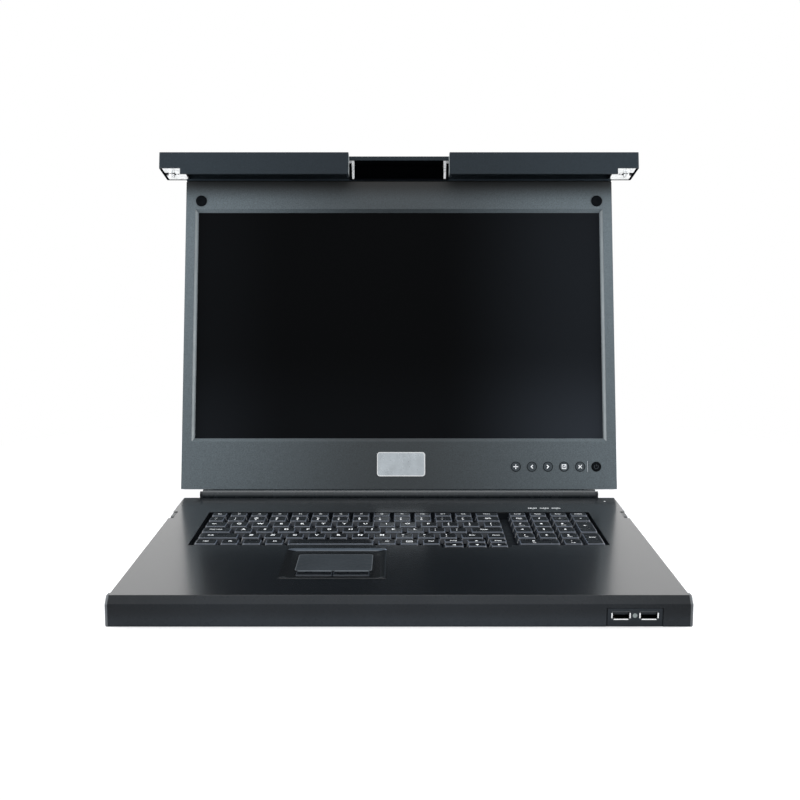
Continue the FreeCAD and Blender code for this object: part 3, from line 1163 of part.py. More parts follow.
# ---------------------------------------------------------------- build
make_slides()
make_base_pan()
make_deck_cover()
make_tray_screws()
make_front_lip()
make_usb_module()
make_lamps()
make_keyboard()
make_touchpad()
make_levers()
make_hinge_brackets()
make_hinge_barrel()
make_rear_bay()
make_power_inlet()
make_electronics()
make_bezel()
make_back_cover()
make_display_screws()
make_screen()
make_buttons()
make_badge_and_bumpers()
make_front_panel()
make_ear_plates()
make_latches()
DOC.recompute()

for thing in DOC.Objects:
    if "Invalid" in thing.State or "Error" in thing.State:
        raise RuntimeError("%s did not build: %s" % (thing.Name, thing.State))
os.makedirs("parts", exist_ok=True)
for thing in PIECES:
    if thing.Shape.isNull() or not thing.Shape.isValid():
        raise RuntimeError("%s has no valid shape" % thing.Label)
for thing in PIECES:
    thing.Shape.exportStep(os.path.join("parts", thing.Label + ".step"))
    print("%-26s %3d solids %11.1f mm3" % (thing.Label, len(thing.Shape.Solids), thing.Shape.Volume))
print(len(PIECES), "pieces")
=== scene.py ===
"""Looks of a rackmount console drawer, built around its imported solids.

The solids keep their shapes and get their finishes here. The key caps, the printed words
and the small trim are built as meshes, in metres, in the same frame as the solids.
"""

from __future__ import annotations

import json
import logging
import math
from dataclasses import dataclass, field, replace
from enum import Enum, IntEnum
from typing import Callable, Optional, Sequence

import bpy
from mathutils import Matrix, Vector

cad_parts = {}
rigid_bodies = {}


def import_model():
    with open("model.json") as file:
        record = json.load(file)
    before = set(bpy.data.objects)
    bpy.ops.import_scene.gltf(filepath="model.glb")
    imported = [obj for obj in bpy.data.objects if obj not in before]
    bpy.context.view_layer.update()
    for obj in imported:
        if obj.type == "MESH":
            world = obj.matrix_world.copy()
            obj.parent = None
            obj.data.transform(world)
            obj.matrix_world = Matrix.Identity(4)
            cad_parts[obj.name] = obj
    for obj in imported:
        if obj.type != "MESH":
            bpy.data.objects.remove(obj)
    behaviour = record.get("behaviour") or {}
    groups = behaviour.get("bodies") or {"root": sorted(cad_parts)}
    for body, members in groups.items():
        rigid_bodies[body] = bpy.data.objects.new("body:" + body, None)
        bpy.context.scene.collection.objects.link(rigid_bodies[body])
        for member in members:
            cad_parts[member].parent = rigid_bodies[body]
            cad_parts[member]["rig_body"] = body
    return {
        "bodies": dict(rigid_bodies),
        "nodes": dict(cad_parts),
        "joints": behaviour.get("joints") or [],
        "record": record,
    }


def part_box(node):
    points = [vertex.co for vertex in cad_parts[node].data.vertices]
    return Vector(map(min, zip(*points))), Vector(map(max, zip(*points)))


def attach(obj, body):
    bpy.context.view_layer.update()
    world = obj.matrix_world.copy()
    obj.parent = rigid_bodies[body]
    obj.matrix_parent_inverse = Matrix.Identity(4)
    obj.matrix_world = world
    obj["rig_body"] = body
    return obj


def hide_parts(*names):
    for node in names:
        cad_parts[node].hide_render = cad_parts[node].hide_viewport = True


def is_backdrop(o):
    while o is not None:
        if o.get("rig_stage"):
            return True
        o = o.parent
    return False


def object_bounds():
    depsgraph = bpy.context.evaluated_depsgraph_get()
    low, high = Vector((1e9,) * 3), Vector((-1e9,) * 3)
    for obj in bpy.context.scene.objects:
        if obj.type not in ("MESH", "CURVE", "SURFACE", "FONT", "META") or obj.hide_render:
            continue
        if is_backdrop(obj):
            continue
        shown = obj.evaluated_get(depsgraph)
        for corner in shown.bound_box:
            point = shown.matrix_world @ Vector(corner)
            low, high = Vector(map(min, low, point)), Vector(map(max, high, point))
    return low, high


LOG = logging.getLogger("console_drawer")
MM = 0.001
WHITE = (1.0, 1.0, 1.0, 1.0)
Colour = tuple[float, float, float]
Point = tuple[float, float]
Spot = tuple[float, float, float]
Socket = bpy.types.NodeSocket
Placer = Callable[[float, float, float], Vector]


class Side(Enum):
    """The two sides of the drawer, with the direction of each along X."""

    LEFT = -1
    RIGHT = 1

    @property
    def word(self) -> str:
        """The side's name as it stands in the names of pieces."""
        return self.name.lower()


class Axis(IntEnum):
    """The axes, by their place in a vector."""

    X = 0
    Y = 1
    Z = 2


class Grain(Enum):
    """What the surface of a finish is like at arm's length."""

    POWDER = "powder coat with a fine grain"
    MOULDED = "spark-eroded plastic"
    ROLLED = "rolled steel with fine lines along its length"
    SPANGLED = "zinc with faint crystals"
    SMOOTH = "lacquer or glass"
    PRINTED = "thin ink"


class NodeSheet:
    """The node tree of a material, with short ways to add and join nodes."""

    def __init__(self, tree: bpy.types.NodeTree) -> None:
        """Empties the tree.

        Args:
            tree: The node tree to fill.
        """
        self.tree = tree
        tree.nodes.clear()

    def add(self, kind: str, **inputs: object) -> bpy.types.Node:
        """Adds a node and sets its inputs or properties by name.

        Args:
            kind: The node's type name without its ShaderNode prefix.
            **inputs: Values, where an input's spaces are written as underscores.

        Returns:
            The new node.
        """
        node = self.tree.nodes.new("ShaderNode" + kind)
        for name, value in inputs.items():
            label = name.replace("_", " ")
            socket = next((s for s in node.inputs if s.name.lower() == label.lower()), None)
            if socket is not None and not hasattr(type(node), name):
                socket.default_value = value
            else:
                setattr(node, name, value)
        return node

    def join(self, source: Socket, target: Socket) -> None:
        """Links an output to an input."""
        self.tree.links.new(source, target)

    def math(self, operation: str, first: object, second: object) -> Socket:
        """Adds a math node.

        Args:
            operation: Blender's name of the operation.
            first: A socket or a number.
            second: A socket or a number.

        Returns:
            The result's socket.
        """
        node = self.tree.nodes.new("ShaderNodeMath")
        node.operation = operation
        for socket, value in zip(node.inputs, (first, second)):
            if isinstance(value, Socket):
                self.join(value, socket)
            else:
                socket.default_value = value
        return node.outputs[0]

    def blend(self, share: Socket, first: bpy.types.Node,
              second: bpy.types.Node) -> bpy.types.Node:
        """Mixes two shaders.

        Args:
            share: How much of the second there is.
            first: The first shader.
            second: The second shader.

        Returns:
            The mixing node.
        """
        mix = self.add("MixShader")
        for source, socket in zip((share, first.outputs[0], second.outputs[0]), mix.inputs):
            self.join(source, socket)
        return mix


NOISE_SPAN = (0.3, 0.7)
NOISE_ROUGHNESS = 0.55
TONE_DETAIL = 3.0
SMUDGE_SIZE, SMUDGE_DETAIL = 14, 2.0
POWDER_DETAIL, PLASTIC_DETAIL = 4.0, 1.5
BUMP_STRENGTH = 0.6
LEAST_ROUGHNESS = 0.02
ROLLING_STRETCH = (1.0, 0.03, 1.0)
# Heights of the normal that bound the painted highlights on sides and rounded edges.
SIDE_SLOPE, TOP_SLOPE = 0.5, 0.995
EDGE_SLOPES = (0.78, 0.93)


@dataclass(frozen=True)
class Fade:
    """A painted change of light and shade along one axis of an object, from one place to another.
    """

    axis: Axis
    start: float
    end: float
    first: float
    last: float
    mirrored: bool = False


@dataclass(frozen=True)
class Finish:
    """A surface finish: its colour, its shine and its grain, with any light and shade painted into
    its colour.
    """

    name: str
    colour: Colour
    roughness: float
    grain: Grain = Grain.MOULDED
    metallic: float = 0.0
    specular: float = 0.5
    coat: float = 0.0
    coat_roughness: float = 0.08
    grain_size: float = 0.5 * MM
    grain_depth: float = 0.0
    tone_swing: float = 0.12
    tone_size: float = 45 * MM
    roughness_swing: float = 0.08
    coat_ior: float = 1.5
    painted_light_fades: tuple[Fade, ...] = ()
    painted_slope_highlights: Optional[tuple[float, float]] = None

    def material(self) -> bpy.types.Material:
        """Returns the finish's material, made on its first use."""
        found = bpy.data.materials.get(self.name + "_finish")
        return found if found is not None else FinishSheet(self).material


class FinishSheet(NodeSheet):
    """The node tree of a finish, made from noise in the object's own space."""

    def __init__(self, finish: Finish) -> None:
        """Builds the tree, where tone, roughness and grain each have their own noise.

        Args:
            finish: The finish.
        """
        self.finish = finish
        self.material = bpy.data.materials.new(finish.name + "_finish")
        self.material.use_nodes = True
        super().__init__(self.material.node_tree)
        out = self.add("OutputMaterial")
        shader = self.add("BsdfPrincipled", Metallic=finish.metallic,
                          Specular_IOR_Level=finish.specular, Coat_Weight=finish.coat,
                          Coat_Roughness=finish.coat_roughness, Coat_IOR=finish.coat_ior)
        self.place = self.add("TexCoord").outputs["Object"]
        if finish.grain is Grain.ROLLED:
            stretch = self.add("Mapping", Scale=ROLLING_STRETCH)
            self.join(self.place, stretch.inputs["Vector"])
            self.place = stretch.outputs["Vector"]
        tone = self.tone()
        # The fades paint light and shade into the colour.
        for fade in finish.painted_light_fades:
            tone = self.painted_light_faded(tone, fade)
        # Painted highlights on rounded edges and sides.
        if finish.painted_slope_highlights is not None:
            tone = self.slope_highlighted(tone, *finish.painted_slope_highlights)
        self.join(tone, shader.inputs["Base Color"])
        if finish.roughness_swing > 0:
            self.join(self.roughness(), shader.inputs["Roughness"])
        else:
            shader.inputs["Roughness"].default_value = finish.roughness
        if finish.grain_depth > 0:
            self.join(self.bump(), shader.inputs["Normal"])
        self.join(shader.outputs["BSDF"], out.inputs["Surface"])

    def noise(self, size: float, detail: float) -> Socket:
        """Adds a noise whose lumps are about one size across.

        Args:
            size: The size of a lump in metres.
            detail: The number of finer layers.

        Returns:
            The noise's factor.
        """
        noise = self.add("TexNoise", Scale=1.0 / size, Detail=detail, Roughness=NOISE_ROUGHNESS)
        self.join(self.place, noise.inputs["Vector"])
        return noise.outputs["Fac"]

    def tone(self) -> Socket:
        """Mottles the colour between a darker and a lighter tone of itself.

        Returns:
            The mottled colour.
        """
        finish = self.finish
        if finish.grain is Grain.SPANGLED:
            cells = self.add("TexVoronoi", Scale=1.0 / finish.tone_size)
            self.join(self.place, cells.inputs["Vector"])
            amount = self.add("SeparateColor")
            self.join(cells.outputs["Color"], amount.inputs["Color"])
            factor = amount.outputs[0]
        else:
            factor = self.noise(finish.tone_size, TONE_DETAIL)
        ramp = self.add("ValToRGB")
        shares = (1.0 - finish.tone_swing, 1.0 + finish.tone_swing)
        for stop, position, share in zip(ramp.color_ramp.elements, NOISE_SPAN, shares):
            stop.position = position
            stop.color = (*(min(1.0, part * share) for part in finish.colour), 1.0)
        self.join(factor, ramp.inputs["Fac"])
        return ramp.outputs["Color"]

    def painted_light_faded(self, tone: Socket, fade: Fade) -> Socket:
        """Paints light and shade into the tone: scales it from one share to another along an axis.

        Args:
            tone: The colour so far.
            fade: Where the change is, and how strong.

        Returns:
            The scaled colour.
        """
        parts = self.add("SeparateXYZ")
        self.join(self.add("TexCoord").outputs["Object"], parts.inputs[0])
        distance = parts.outputs[fade.axis]
        if fade.mirrored:
            distance = self.math("ABSOLUTE", distance, 0.0)
        spread = self.add("MapRange", interpolation_type="SMOOTHSTEP", From_Min=fade.start,
                          From_Max=fade.end, To_Min=fade.first, To_Max=fade.last)
        self.join(distance, spread.inputs["Value"])
        return self.scaled(tone, spread.outputs["Result"])

    def slope_highlighted(self, tone: Socket, edge: float,
               side: float) -> Socket:
        """Paints highlights: lightens the rounded edges and the sides of a piece, and leaves its
        top.

        Args:
            tone: The colour so far.
            edge: What the tone is multiplied by on the edges.
            side: What it is multiplied by on the sides.

        Returns:
            The scaled colour.
        """
        parts = self.add("SeparateXYZ")
        self.join(self.add("TexCoord").outputs["Normal"], parts.inputs[0])
        ramp = self.add("ValToRGB")
        stops = ramp.color_ramp.elements
        stops[0].position, stops[1].position = SIDE_SLOPE, TOP_SLOPE
        stops[0].color, stops[1].color = (side, side, side, 1.0), WHITE
        for position in EDGE_SLOPES:
            stops.new(position).color = (edge, edge, edge, 1.0)
        self.join(parts.outputs["Z"], ramp.inputs["Fac"])
        return self.scaled(tone, ramp.outputs["Color"])

    def scaled(self, tone: Socket,
               share: Socket) -> Socket:
        """Multiplies a colour by a share.

        Args:
            tone: The colour.
            share: The factor, as a number or a grey.

        Returns:
            The product.
        """
        product = self.add("VectorMath", operation="MULTIPLY")
        self.join(tone, product.inputs[0])
        self.join(share, product.inputs[1])
        return product.outputs["Vector"]

    def roughness(self) -> Socket:
        """Varies the roughness a little around its mean.

        Returns:
            The roughness.
        """
        mean, swing = self.finish.roughness, self.finish.roughness_swing
        spread = self.add("MapRange", From_Min=NOISE_SPAN[0], From_Max=NOISE_SPAN[1],
                          To_Min=max(LEAST_ROUGHNESS, mean - swing),
                          To_Max=min(1.0, mean + swing))
        smudges = self.noise(self.finish.grain_size * SMUDGE_SIZE, SMUDGE_DETAIL)
        self.join(smudges, spread.inputs["Value"])
        return spread.outputs["Result"]

    def bump(self) -> Socket:
        """Raises the grain, whose lumps are sharper on a powder coat than on plastic.

        Returns:
            The bent normal.
        """
        detail = POWDER_DETAIL if self.finish.grain is Grain.POWDER else PLASTIC_DETAIL
        bump = self.add("Bump", Strength=BUMP_STRENGTH, Distance=self.finish.grain_depth)
        self.join(self.noise(self.finish.grain_size, detail), bump.inputs["Height"])
        return bump.outputs["Normal"]


class Finishes:
    """All the finishes of the drawer."""

    deck = Finish("satin_black_paint", (0.0034, 0.0050, 0.0070), 0.36, Grain.POWDER,
                  specular=0.06, coat=1.0, coat_roughness=0.19, coat_ior=2.0,
                  grain_size=0.4 * MM, grain_depth=0.0012 * MM, tone_swing=0.1,
                  roughness_swing=0.03)
    dish = replace(deck, name="dish_paint", colour=(0.0036, 0.0045, 0.0056),
                   coat_ior=1.8)
    # The fades are painted light on the lip's front: lighter low down and at the middle, darker
    # towards its top and its ends.
    lip = Finish("lip_paint", (0.026, 0.032, 0.039), 0.30, Grain.POWDER, specular=0.14,
                 grain_size=0.4 * MM, grain_depth=0.004 * MM, tone_swing=0.08,
                 painted_light_fades=(Fade(Axis.Z, 1.0 * MM, 13.0 * MM, 1.0, 0.5),
                        Fade(Axis.X, 120 * MM, 240 * MM, 1.15, 0.7, True)))
    pan = Finish("black_sheet_paint", (0.010, 0.012, 0.015), 0.45, Grain.POWDER,
                 specular=0.25, grain_depth=0.01 * MM, roughness_swing=0.02)
    # The fades are painted light on the case: lighter towards both sides and towards the top, with
    # a painted shadow just under the bar.
    shell = Finish("textured_slate_paint", (0.042, 0.053, 0.060), 0.42, Grain.POWDER,
                   specular=0.35, grain_size=0.9 * MM, grain_depth=0.05 * MM, tone_swing=0.25,
                   tone_size=1.1 * MM, roughness_swing=0.02,
                   painted_light_fades=(Fade(Axis.X, 10 * MM, 200 * MM, 0.55, 1.6, True),
                          Fade(Axis.Z, 60 * MM, 300 * MM, 1.0, 1.3),
                          Fade(Axis.Z, 313 * MM, 333 * MM, 1.0, 0.08)))
    # The fade is painted shade: the bar is darker at its middle than towards its ends.
    bar = Finish("panel_slate_paint", (0.015, 0.0215, 0.0275), 0.4, Grain.POWDER, specular=0.14,
                 grain_size=0.7 * MM, grain_depth=0.03 * MM, tone_swing=0.25,
                 tone_size=0.9 * MM, roughness_swing=0.03,
                 painted_light_fades=(Fade(Axis.X, 60 * MM, 210 * MM, 0.85, 1.1, True),))
    # Matt black for sheets and marks of painted shade in a recess, gaps, slots and a hole.
    shade = Finish("matt_black", (0.0018, 0.0022, 0.0030), 0.8, Grain.PRINTED, specular=0.0,)
    # Lighter than the lip, so that the caps' rounded edges show a painted highlight.
    cap = Finish("end_cap_plastic", (0.105, 0.115, 0.125), 0.35, Grain.MOULDED, specular=0.4,
                 grain_size=0.3 * MM, grain_depth=0.004 * MM)
    barrel = Finish("semi_gloss_black", (0.018, 0.023, 0.027), 0.24, Grain.SMOOTH,
                    specular=0.5, tone_swing=0.05)
    # The slope highlights paint light on the keys' rounded edges and sides.
    keys = Finish("satin_key_plastic", (0.0050, 0.0060, 0.0077), 0.24, Grain.MOULDED,
                  specular=0.36, grain_size=0.25 * MM, grain_depth=0.001 * MM,
                  roughness_swing=0.04, painted_slope_highlights=(17.0, 4.0))
    black = Finish("moulded_black", (0.008, 0.010, 0.013), 0.35, Grain.MOULDED, specular=0.2,
                   grain_size=0.4 * MM, grain_depth=0.006 * MM)
    module = Finish("port_module_black", (0.020, 0.025, 0.031), 0.35, Grain.MOULDED,
                    specular=0.12, grain_size=0.4 * MM, grain_depth=0.004 * MM)
    # The slope highlights paint light on the touch buttons' rounded edges and sides.
    pad_button = Finish("pad_button_black", (0.0035, 0.0045, 0.0060), 0.3, Grain.MOULDED,
                        specular=0.16, grain_size=0.4 * MM, grain_depth=0.003 * MM,
                        painted_slope_highlights=(6.0, 2.0))
    touch = Finish("pad_surface", (0.030, 0.036, 0.042), 0.42, Grain.MOULDED, specular=0.1,
                   grain_size=0.3 * MM, grain_depth=0.004 * MM)
    button = Finish("menu_button_plastic", (0.040, 0.050, 0.058), 0.3, Grain.SMOOTH,
                    specular=0.2)
    dark_button = Finish("power_button_plastic", (0.002, 0.003, 0.004), 0.22, Grain.SMOOTH,
                         specular=0.06)
    # The fades are painted reflection: the dark screen lightens towards its right, its far left
    # and its lower edge.
    screen = Finish("screen_panel", (0.0010, 0.0012, 0.0015), 0.30, Grain.SMOOTH,
                    specular=0.03, tone_swing=0.05, tone_size=300 * MM,
                    roughness_swing=0.0,
                    painted_light_fades=(Fade(Axis.X, 40 * MM, 190 * MM, 1.0, 7.5),
                           Fade(Axis.X, -190 * MM, -110 * MM, 2.2, 1.0),
                           Fade(Axis.Z, 75 * MM, 170 * MM, 2.6, 1.0)))
    zinc = Finish("bright_zinc", (0.86, 0.88, 0.89), 0.28, Grain.SPANGLED, metallic=1.0,
                  grain_size=0.8 * MM, grain_depth=0.003 * MM, tone_size=3 * MM)
    screw = Finish("screw_steel", (0.17, 0.18, 0.19), 0.35, Grain.ROLLED, metallic=1.0,
                   grain_size=0.3 * MM, grain_depth=0.002 * MM, tone_size=3 * MM)
    lever = Finish("lever_steel", (0.10, 0.105, 0.11), 0.3, Grain.ROLLED, metallic=1.0,
                   grain_size=0.4 * MM, grain_depth=0.002 * MM, tone_size=8 * MM)
    steel = Finish("slide_steel", (0.56, 0.57, 0.58), 0.32, Grain.ROLLED, metallic=1.0,
                   grain_size=0.4 * MM, grain_depth=0.006 * MM, tone_size=20 * MM)
    # Pale and only partly metallic, so the latch tabs and port flares stay light where bright
    # metal would mirror dark parts: a painted highlight.
    tab = Finish("latch_nickel", (0.88, 0.89, 0.90), 0.30, Grain.ROLLED, metallic=0.25,
                 grain_size=0.4 * MM, grain_depth=0.002 * MM, tone_size=4 * MM, tone_swing=0.04)
    # Painted highlight: light plates on the sides of the hand recess.
    cheek = Finish("recess_cheek_paint", (0.30, 0.33, 0.34), 0.35, Grain.POWDER, specular=0.4,
                   grain_size=0.4 * MM, grain_depth=0.004 * MM)
    # Painted highlight on the slopes at the sides of the screen's window.
    window_shine = Finish("window_edge_paint", (0.19, 0.22, 0.235), 0.35, Grain.POWDER,
                         specular=0.3, grain_size=0.5 * MM, grain_depth=0.01 * MM)
    badge = Finish("badge_plate_metal", (0.40, 0.44, 0.47), 0.30, Grain.ROLLED, metallic=0.4,
                   specular=0.3, grain_size=0.6 * MM, grain_depth=0.002 * MM,
                   tone_size=12 * MM)
    # Painted highlight round the badge's edge.
    rim = Finish("badge_rim", (0.78, 0.79, 0.80), 0.25, Grain.SMOOTH, metallic=0.6)
    # Painted highlight on the touchpad's edge and along the touch buttons.
    pad_edge = Finish("pad_edge", (0.115, 0.13, 0.145), 0.35, Grain.SMOOTH, specular=0.3)
    rubber = Finish("soft_bumper_rubber", (0.0025, 0.0035, 0.005), 0.35, Grain.MOULDED,
                    specular=0.04, grain_size=0.3 * MM, grain_depth=0.004 * MM)
    ink = Finish("white_ink", (0.88, 0.91, 0.94), 0.6, Grain.PRINTED, grain_size=0.1 * MM,
                 tone_swing=0.06, tone_size=2 * MM)
    # Painted highlight in the groove beside the power button.
    groove_shine = Finish("grey_ink", (0.40, 0.43, 0.46), 0.6, Grain.PRINTED,
                       grain_size=0.1 * MM, tone_swing=0.06, tone_size=2 * MM)
    board = Finish("solder_mask", (0.012, 0.085, 0.035), 0.35, Grain.SMOOTH,
                   grain_size=0.6 * MM, grain_depth=0.01 * MM)
    lamp = Finish("lamp_lens", (0.22, 0.26, 0.26), 0.2, Grain.SMOOTH,
                  coat=0.5)
    gold = Finish("contact_gold", (0.85, 0.60, 0.25), 0.25, Grain.ROLLED, metallic=1.0,
                  grain_size=0.2 * MM)


WELD_REACH = 1e-6
BEVEL_ANGLE, BEVEL_STEPS = 38, 2
FOLD_ANGLE = 40


class Workshop:
    """Puts pieces in the scene, each with its finish and body."""

    def __init__(self) -> None:
        """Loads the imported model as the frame."""
        self.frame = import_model()
        self.nodes = self.frame["nodes"]
        self.cad_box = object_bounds()
        joints = {joint["name"]: joint for joint in self.frame["joints"]}
        inward = Vector(joints["menu_button_1_press"]["axis"]).normalized()
        across = Vector((1.0, 0.0, 0.0))
        up = across.cross(inward)
        self.display = Matrix.Translation(Vector(joints["display_hinge"]["pos_m"])) @ Matrix(
            (across, inward, up)).transposed().to_4x4()

    def body(self, node: str) -> str:
        """Returns the name of the body that a CAD node rides on."""
        return self.nodes[node]["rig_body"]

    def at(self, x: float, y: float, z: float) -> Vector:
        """Turns a point of the display's own frame into one of the shared frame."""
        return self.display @ Vector((x, y, z))

    def on_face(self, depth: float) -> Placer:
        """Returns a placer for flat shapes (across, up, height) on a face at one local Y."""
        return lambda x, z, lift: self.at(x, depth - lift, z)

    def local_box(self, node: str) -> tuple[Vector, Vector]:
        """Lowest and highest corner of a node in the display's own frame.

        Args:
            node: A CAD node of the display.

        Returns:
            The two corners, where Y runs into the display and Z up its face.
        """
        back = self.display.inverted()
        corners = [back @ vertex.co for vertex in self.nodes[node].data.vertices]
        low = Vector(min(c[i] for c in corners) for i in range(3))
        high = Vector(max(c[i] for c in corners) for i in range(3))
        return low, high

    def dress(self, node: str, finish: Finish, edge: float = 0.0) -> None:
        """Gives a carried-over solid its finish, and softens its edges.

        Args:
            node: The CAD node's name.
            finish: The finish to give it.
            edge: The width of the edge rounding in metres, or 0 for none.
        """
        solid = self.nodes[node]
        solid.data.materials.clear()
        solid.data.materials.append(finish.material())
        if edge > 0:
            weld = solid.modifiers.new("weld", "WELD")
            weld.merge_threshold = WELD_REACH
            bevel = solid.modifiers.new("soft_edges", "BEVEL")
            bevel.width = edge
            bevel.segments = BEVEL_STEPS
            bevel.limit_method = "ANGLE"
            bevel.angle_limit = math.radians(BEVEL_ANGLE)
            solid.modifiers.new("even_normals", "WEIGHTED_NORMAL").keep_sharp = True
        LOG.info("dressed %s in %s", node, finish.name)

    def dress_all(self, plan: Sequence[tuple[Finish, float, Sequence[str]]]) -> None:
        """Gives groups of solids their finishes.

        Args:
            plan: Each finish with the width of the edge rounding and its CAD nodes.
        """
        for finish, edge, nodes in plan:
            for node in nodes:
                self.dress(node, finish, edge)

    def add(self, name: str, shape: Heap, finish: Finish, body: str, slot: str,
            stands_for: Sequence[str] = (), smooth: bool = False) -> None:
        """Makes a mesh piece and puts it in the scene.

        Args:
            name: The piece's name.
            shape: Its points and faces.
            finish: Its finish.
            body: The body that it rides on.
            slot: The record's material slot; it is not used.
            stands_for: CAD nodes that it replaces.
            smooth: Whether its faces are shaded smooth, with sharp folds kept.
        """
        mesh = bpy.data.meshes.new(name)
        mesh.from_pydata([tuple(v) for v in shape.vertices], [], shape.faces)
        mesh.validate()
        if smooth:
            mesh.shade_smooth()
            mesh.set_sharp_from_angle(angle=math.radians(FOLD_ANGLE))
        piece = bpy.data.objects.new(name, mesh)
        bpy.context.scene.collection.objects.link(piece)
        mesh.materials.append(finish.material())
        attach(piece, body)
        if stands_for:
            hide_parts(*stands_for)
        LOG.info("built %s on %s, %d faces", name, body, len(mesh.polygons))


@dataclass
class Heap:
    """Points and faces that are gathered into one mesh."""

    vertices: list[Vector] = field(default_factory=list)
    faces: list[tuple[int, ...]] = field(default_factory=list)

    def take(self, points: Sequence[Vector], faces: Sequence[Sequence[int]]) -> None:
        """Adds a shape's points and faces.

        Args:
            points: The shape's points.
            faces: Its faces, as numbers of those points.
        """
        start = len(self.vertices)
        self.vertices.extend(Vector(p) for p in points)
        self.faces.extend(tuple(start + i for i in face) for face in faces)

    def loft(self, rings: Sequence[Sequence[Vector]], close_first: bool = True,
             close_last: bool = True) -> None:
        """Skins rings of equal length, and closes the ends with flat faces.

        Args:
            rings: Rings of points, from the first to the last.
            close_first: Whether the first ring gets a face.
            close_last: Whether the last ring gets a face.
        """
        count = len(rings[0])
        faces: list[tuple[int, ...]] = []
        for level in range(len(rings) - 1):
            low, high = level * count, (level + 1) * count
            for i in range(count):
                j = (i + 1) % count
                faces.append((low + i, low + j, high + j, high + i))
        if close_first:
            faces.append(tuple(reversed(range(count))))
        if close_last:
            last = (len(rings) - 1) * count
            faces.append(tuple(range(last, last + count)))
        self.take([point for ring in rings for point in ring], faces)

    def frame(self, outer: Sequence[Point], inner: Sequence[Point], low: float, high: float,
              place: Placer) -> None:
        """Adds a flat frame between two outlines of equal length.

        Args:
            outer: The outer outline.
            inner: The inner outline.
            low: The height of its underside.
            high: The height of its top.
            place: Turns (across, along, height) into a point of the shared frame.
        """
        rings = [[place(x, y, level) for x, y in outline]
                 for outline, level in ((outer, low), (outer, high), (inner, high), (inner, low))]
        self.loft(rings + [rings[0]], False, False)

    def ribbon(self, outer: Sequence[Point], inner: Sequence[Point], low: float, high: float,
               place: Placer) -> None:
        """Adds a flat band between two open lines of equal length.

        Args:
            outer: The points along one side.
            inner: The points along the other side.
            low: The height of its underside.
            high: The height of its top.
            place: Turns (across, along, height) into a point of the shared frame.
        """
        self.loft([[place(*a, low), place(*a, high), place(*b, high), place(*b, low)]
                   for a, b in zip(outer, inner)])

    def plate(self, outline: Sequence[Point], low: float, high: float,
              place: Placer) -> None:
        """Adds a flat plate with an outline.

        Args:
            outline: The plate's corners, counter-clockwise.
            low: The height of its underside.
            high: The height of its top.
            place: Turns (across, along, height) into a point of the shared frame.
        """
        self.loft([[place(x, y, level) for x, y in outline] for level in (low, high)])


ROUNDEST = 0.98


def rounded_rectangle(middle: Point, half: Point, radius: float, steps: int = 3) -> list[Point]:
    """Corner points of a rectangle with round corners, counter-clockwise.

    Args:
        middle: Its centre.
        half: Its half width and half depth.
        radius: The corners' radius.
        steps: The number of segments in a corner.

    Returns:
        The outline's points.
    """
    radius = min(radius, half[0] * ROUNDEST, half[1] * ROUNDEST)
    points = []
    for turn, (sx, sy) in enumerate(((1, 1), (-1, 1), (-1, -1), (1, -1))):
        for step in range(steps + 1):
            angle = math.radians(90 * (turn + step / steps))
            points.append((middle[0] + sx * (half[0] - radius) + radius * math.cos(angle),
                           middle[1] + sy * (half[1] - radius) + radius * math.sin(angle)))
    return points


def circle(middle: Point, radius: float, count: int = 32) -> list[Point]:
    """Points of a circle, counter-clockwise."""
    turns = (2 * math.pi * i / count for i in range(count))
    return [(middle[0] + radius * math.cos(a), middle[1] + radius * math.sin(a)) for a in turns]


def arc(middle: Point, radius: float, start: float, sweep: float, steps: int) -> list[Point]:
    """Points along a part of a circle.

    Args:
        middle: The circle's centre.
        radius: Its radius.
        start: Where the arc starts, in degrees.
        sweep: How far it turns, in degrees.
        steps: The number of its segments.

    Returns:
        The points, from the start on.
    """
    turns = (math.radians(start + sweep * step / steps) for step in range(steps + 1))
    return [(middle[0] + radius * math.cos(a), middle[1] + radius * math.sin(a)) for a in turns]


@dataclass
class Lettering:
    """Flat letters as a mesh, from Blender's own font."""

    boldness: float = 0.034
    curve_steps: int = 2
    line_gap: float = 0.8
    cache: dict[str, tuple[list[Point], list[tuple[int, ...]]]] = field(default_factory=dict)

    def outline(self, text: str) -> tuple[list[Point], list[tuple[int, ...]]]:
        """Points and faces of a word, 1 high and centred on its own middle.

        Args:
            text: The word; a line break starts a new line.

        Returns:
            The points and the faces.
        """
        if text not in self.cache:
            curve = bpy.data.curves.new("word", "FONT")
            curve.body = text
            curve.align_x = "CENTER"
            curve.resolution_u = self.curve_steps
            curve.offset = self.boldness
            curve.space_line = self.line_gap
            holder = bpy.data.objects.new("word", curve)
            mesh = bpy.data.meshes.new_from_object(holder)
            points = [(v.co.x, v.co.y) for v in mesh.vertices]
            faces = [tuple(p.vertices) for p in mesh.polygons]
            bpy.data.objects.remove(holder)
            bpy.data.curves.remove(curve)
            bpy.data.meshes.remove(mesh)
            middle_y = (min(y for _, y in points) + max(y for _, y in points)) / 2
            self.cache[text] = ([(x, y - middle_y) for x, y in points], faces)
        return self.cache[text]


Shape = tuple[Point, ...]


def bar(left: float, low: float, right: float, high: float) -> Shape:
    """The corners of an upright rectangle, counter-clockwise."""
    return (left, low), (right, low), (right, high), (left, high)


def box_lines(wide: float, tall: float, across: float, along: float) -> tuple[Shape, ...]:
    """The four sides of a box around the middle.

    Args:
        wide: Its half width.
        tall: Its half height.
        across: The half width of the opening.
        along: The half height of the opening.

    Returns:
        The sides: below, above, left and right.
    """
    return (bar(-wide, -tall, wide, -along), bar(-wide, along, wide, tall),
            bar(-wide, -along, -across, along), bar(across, -along, wide, along))


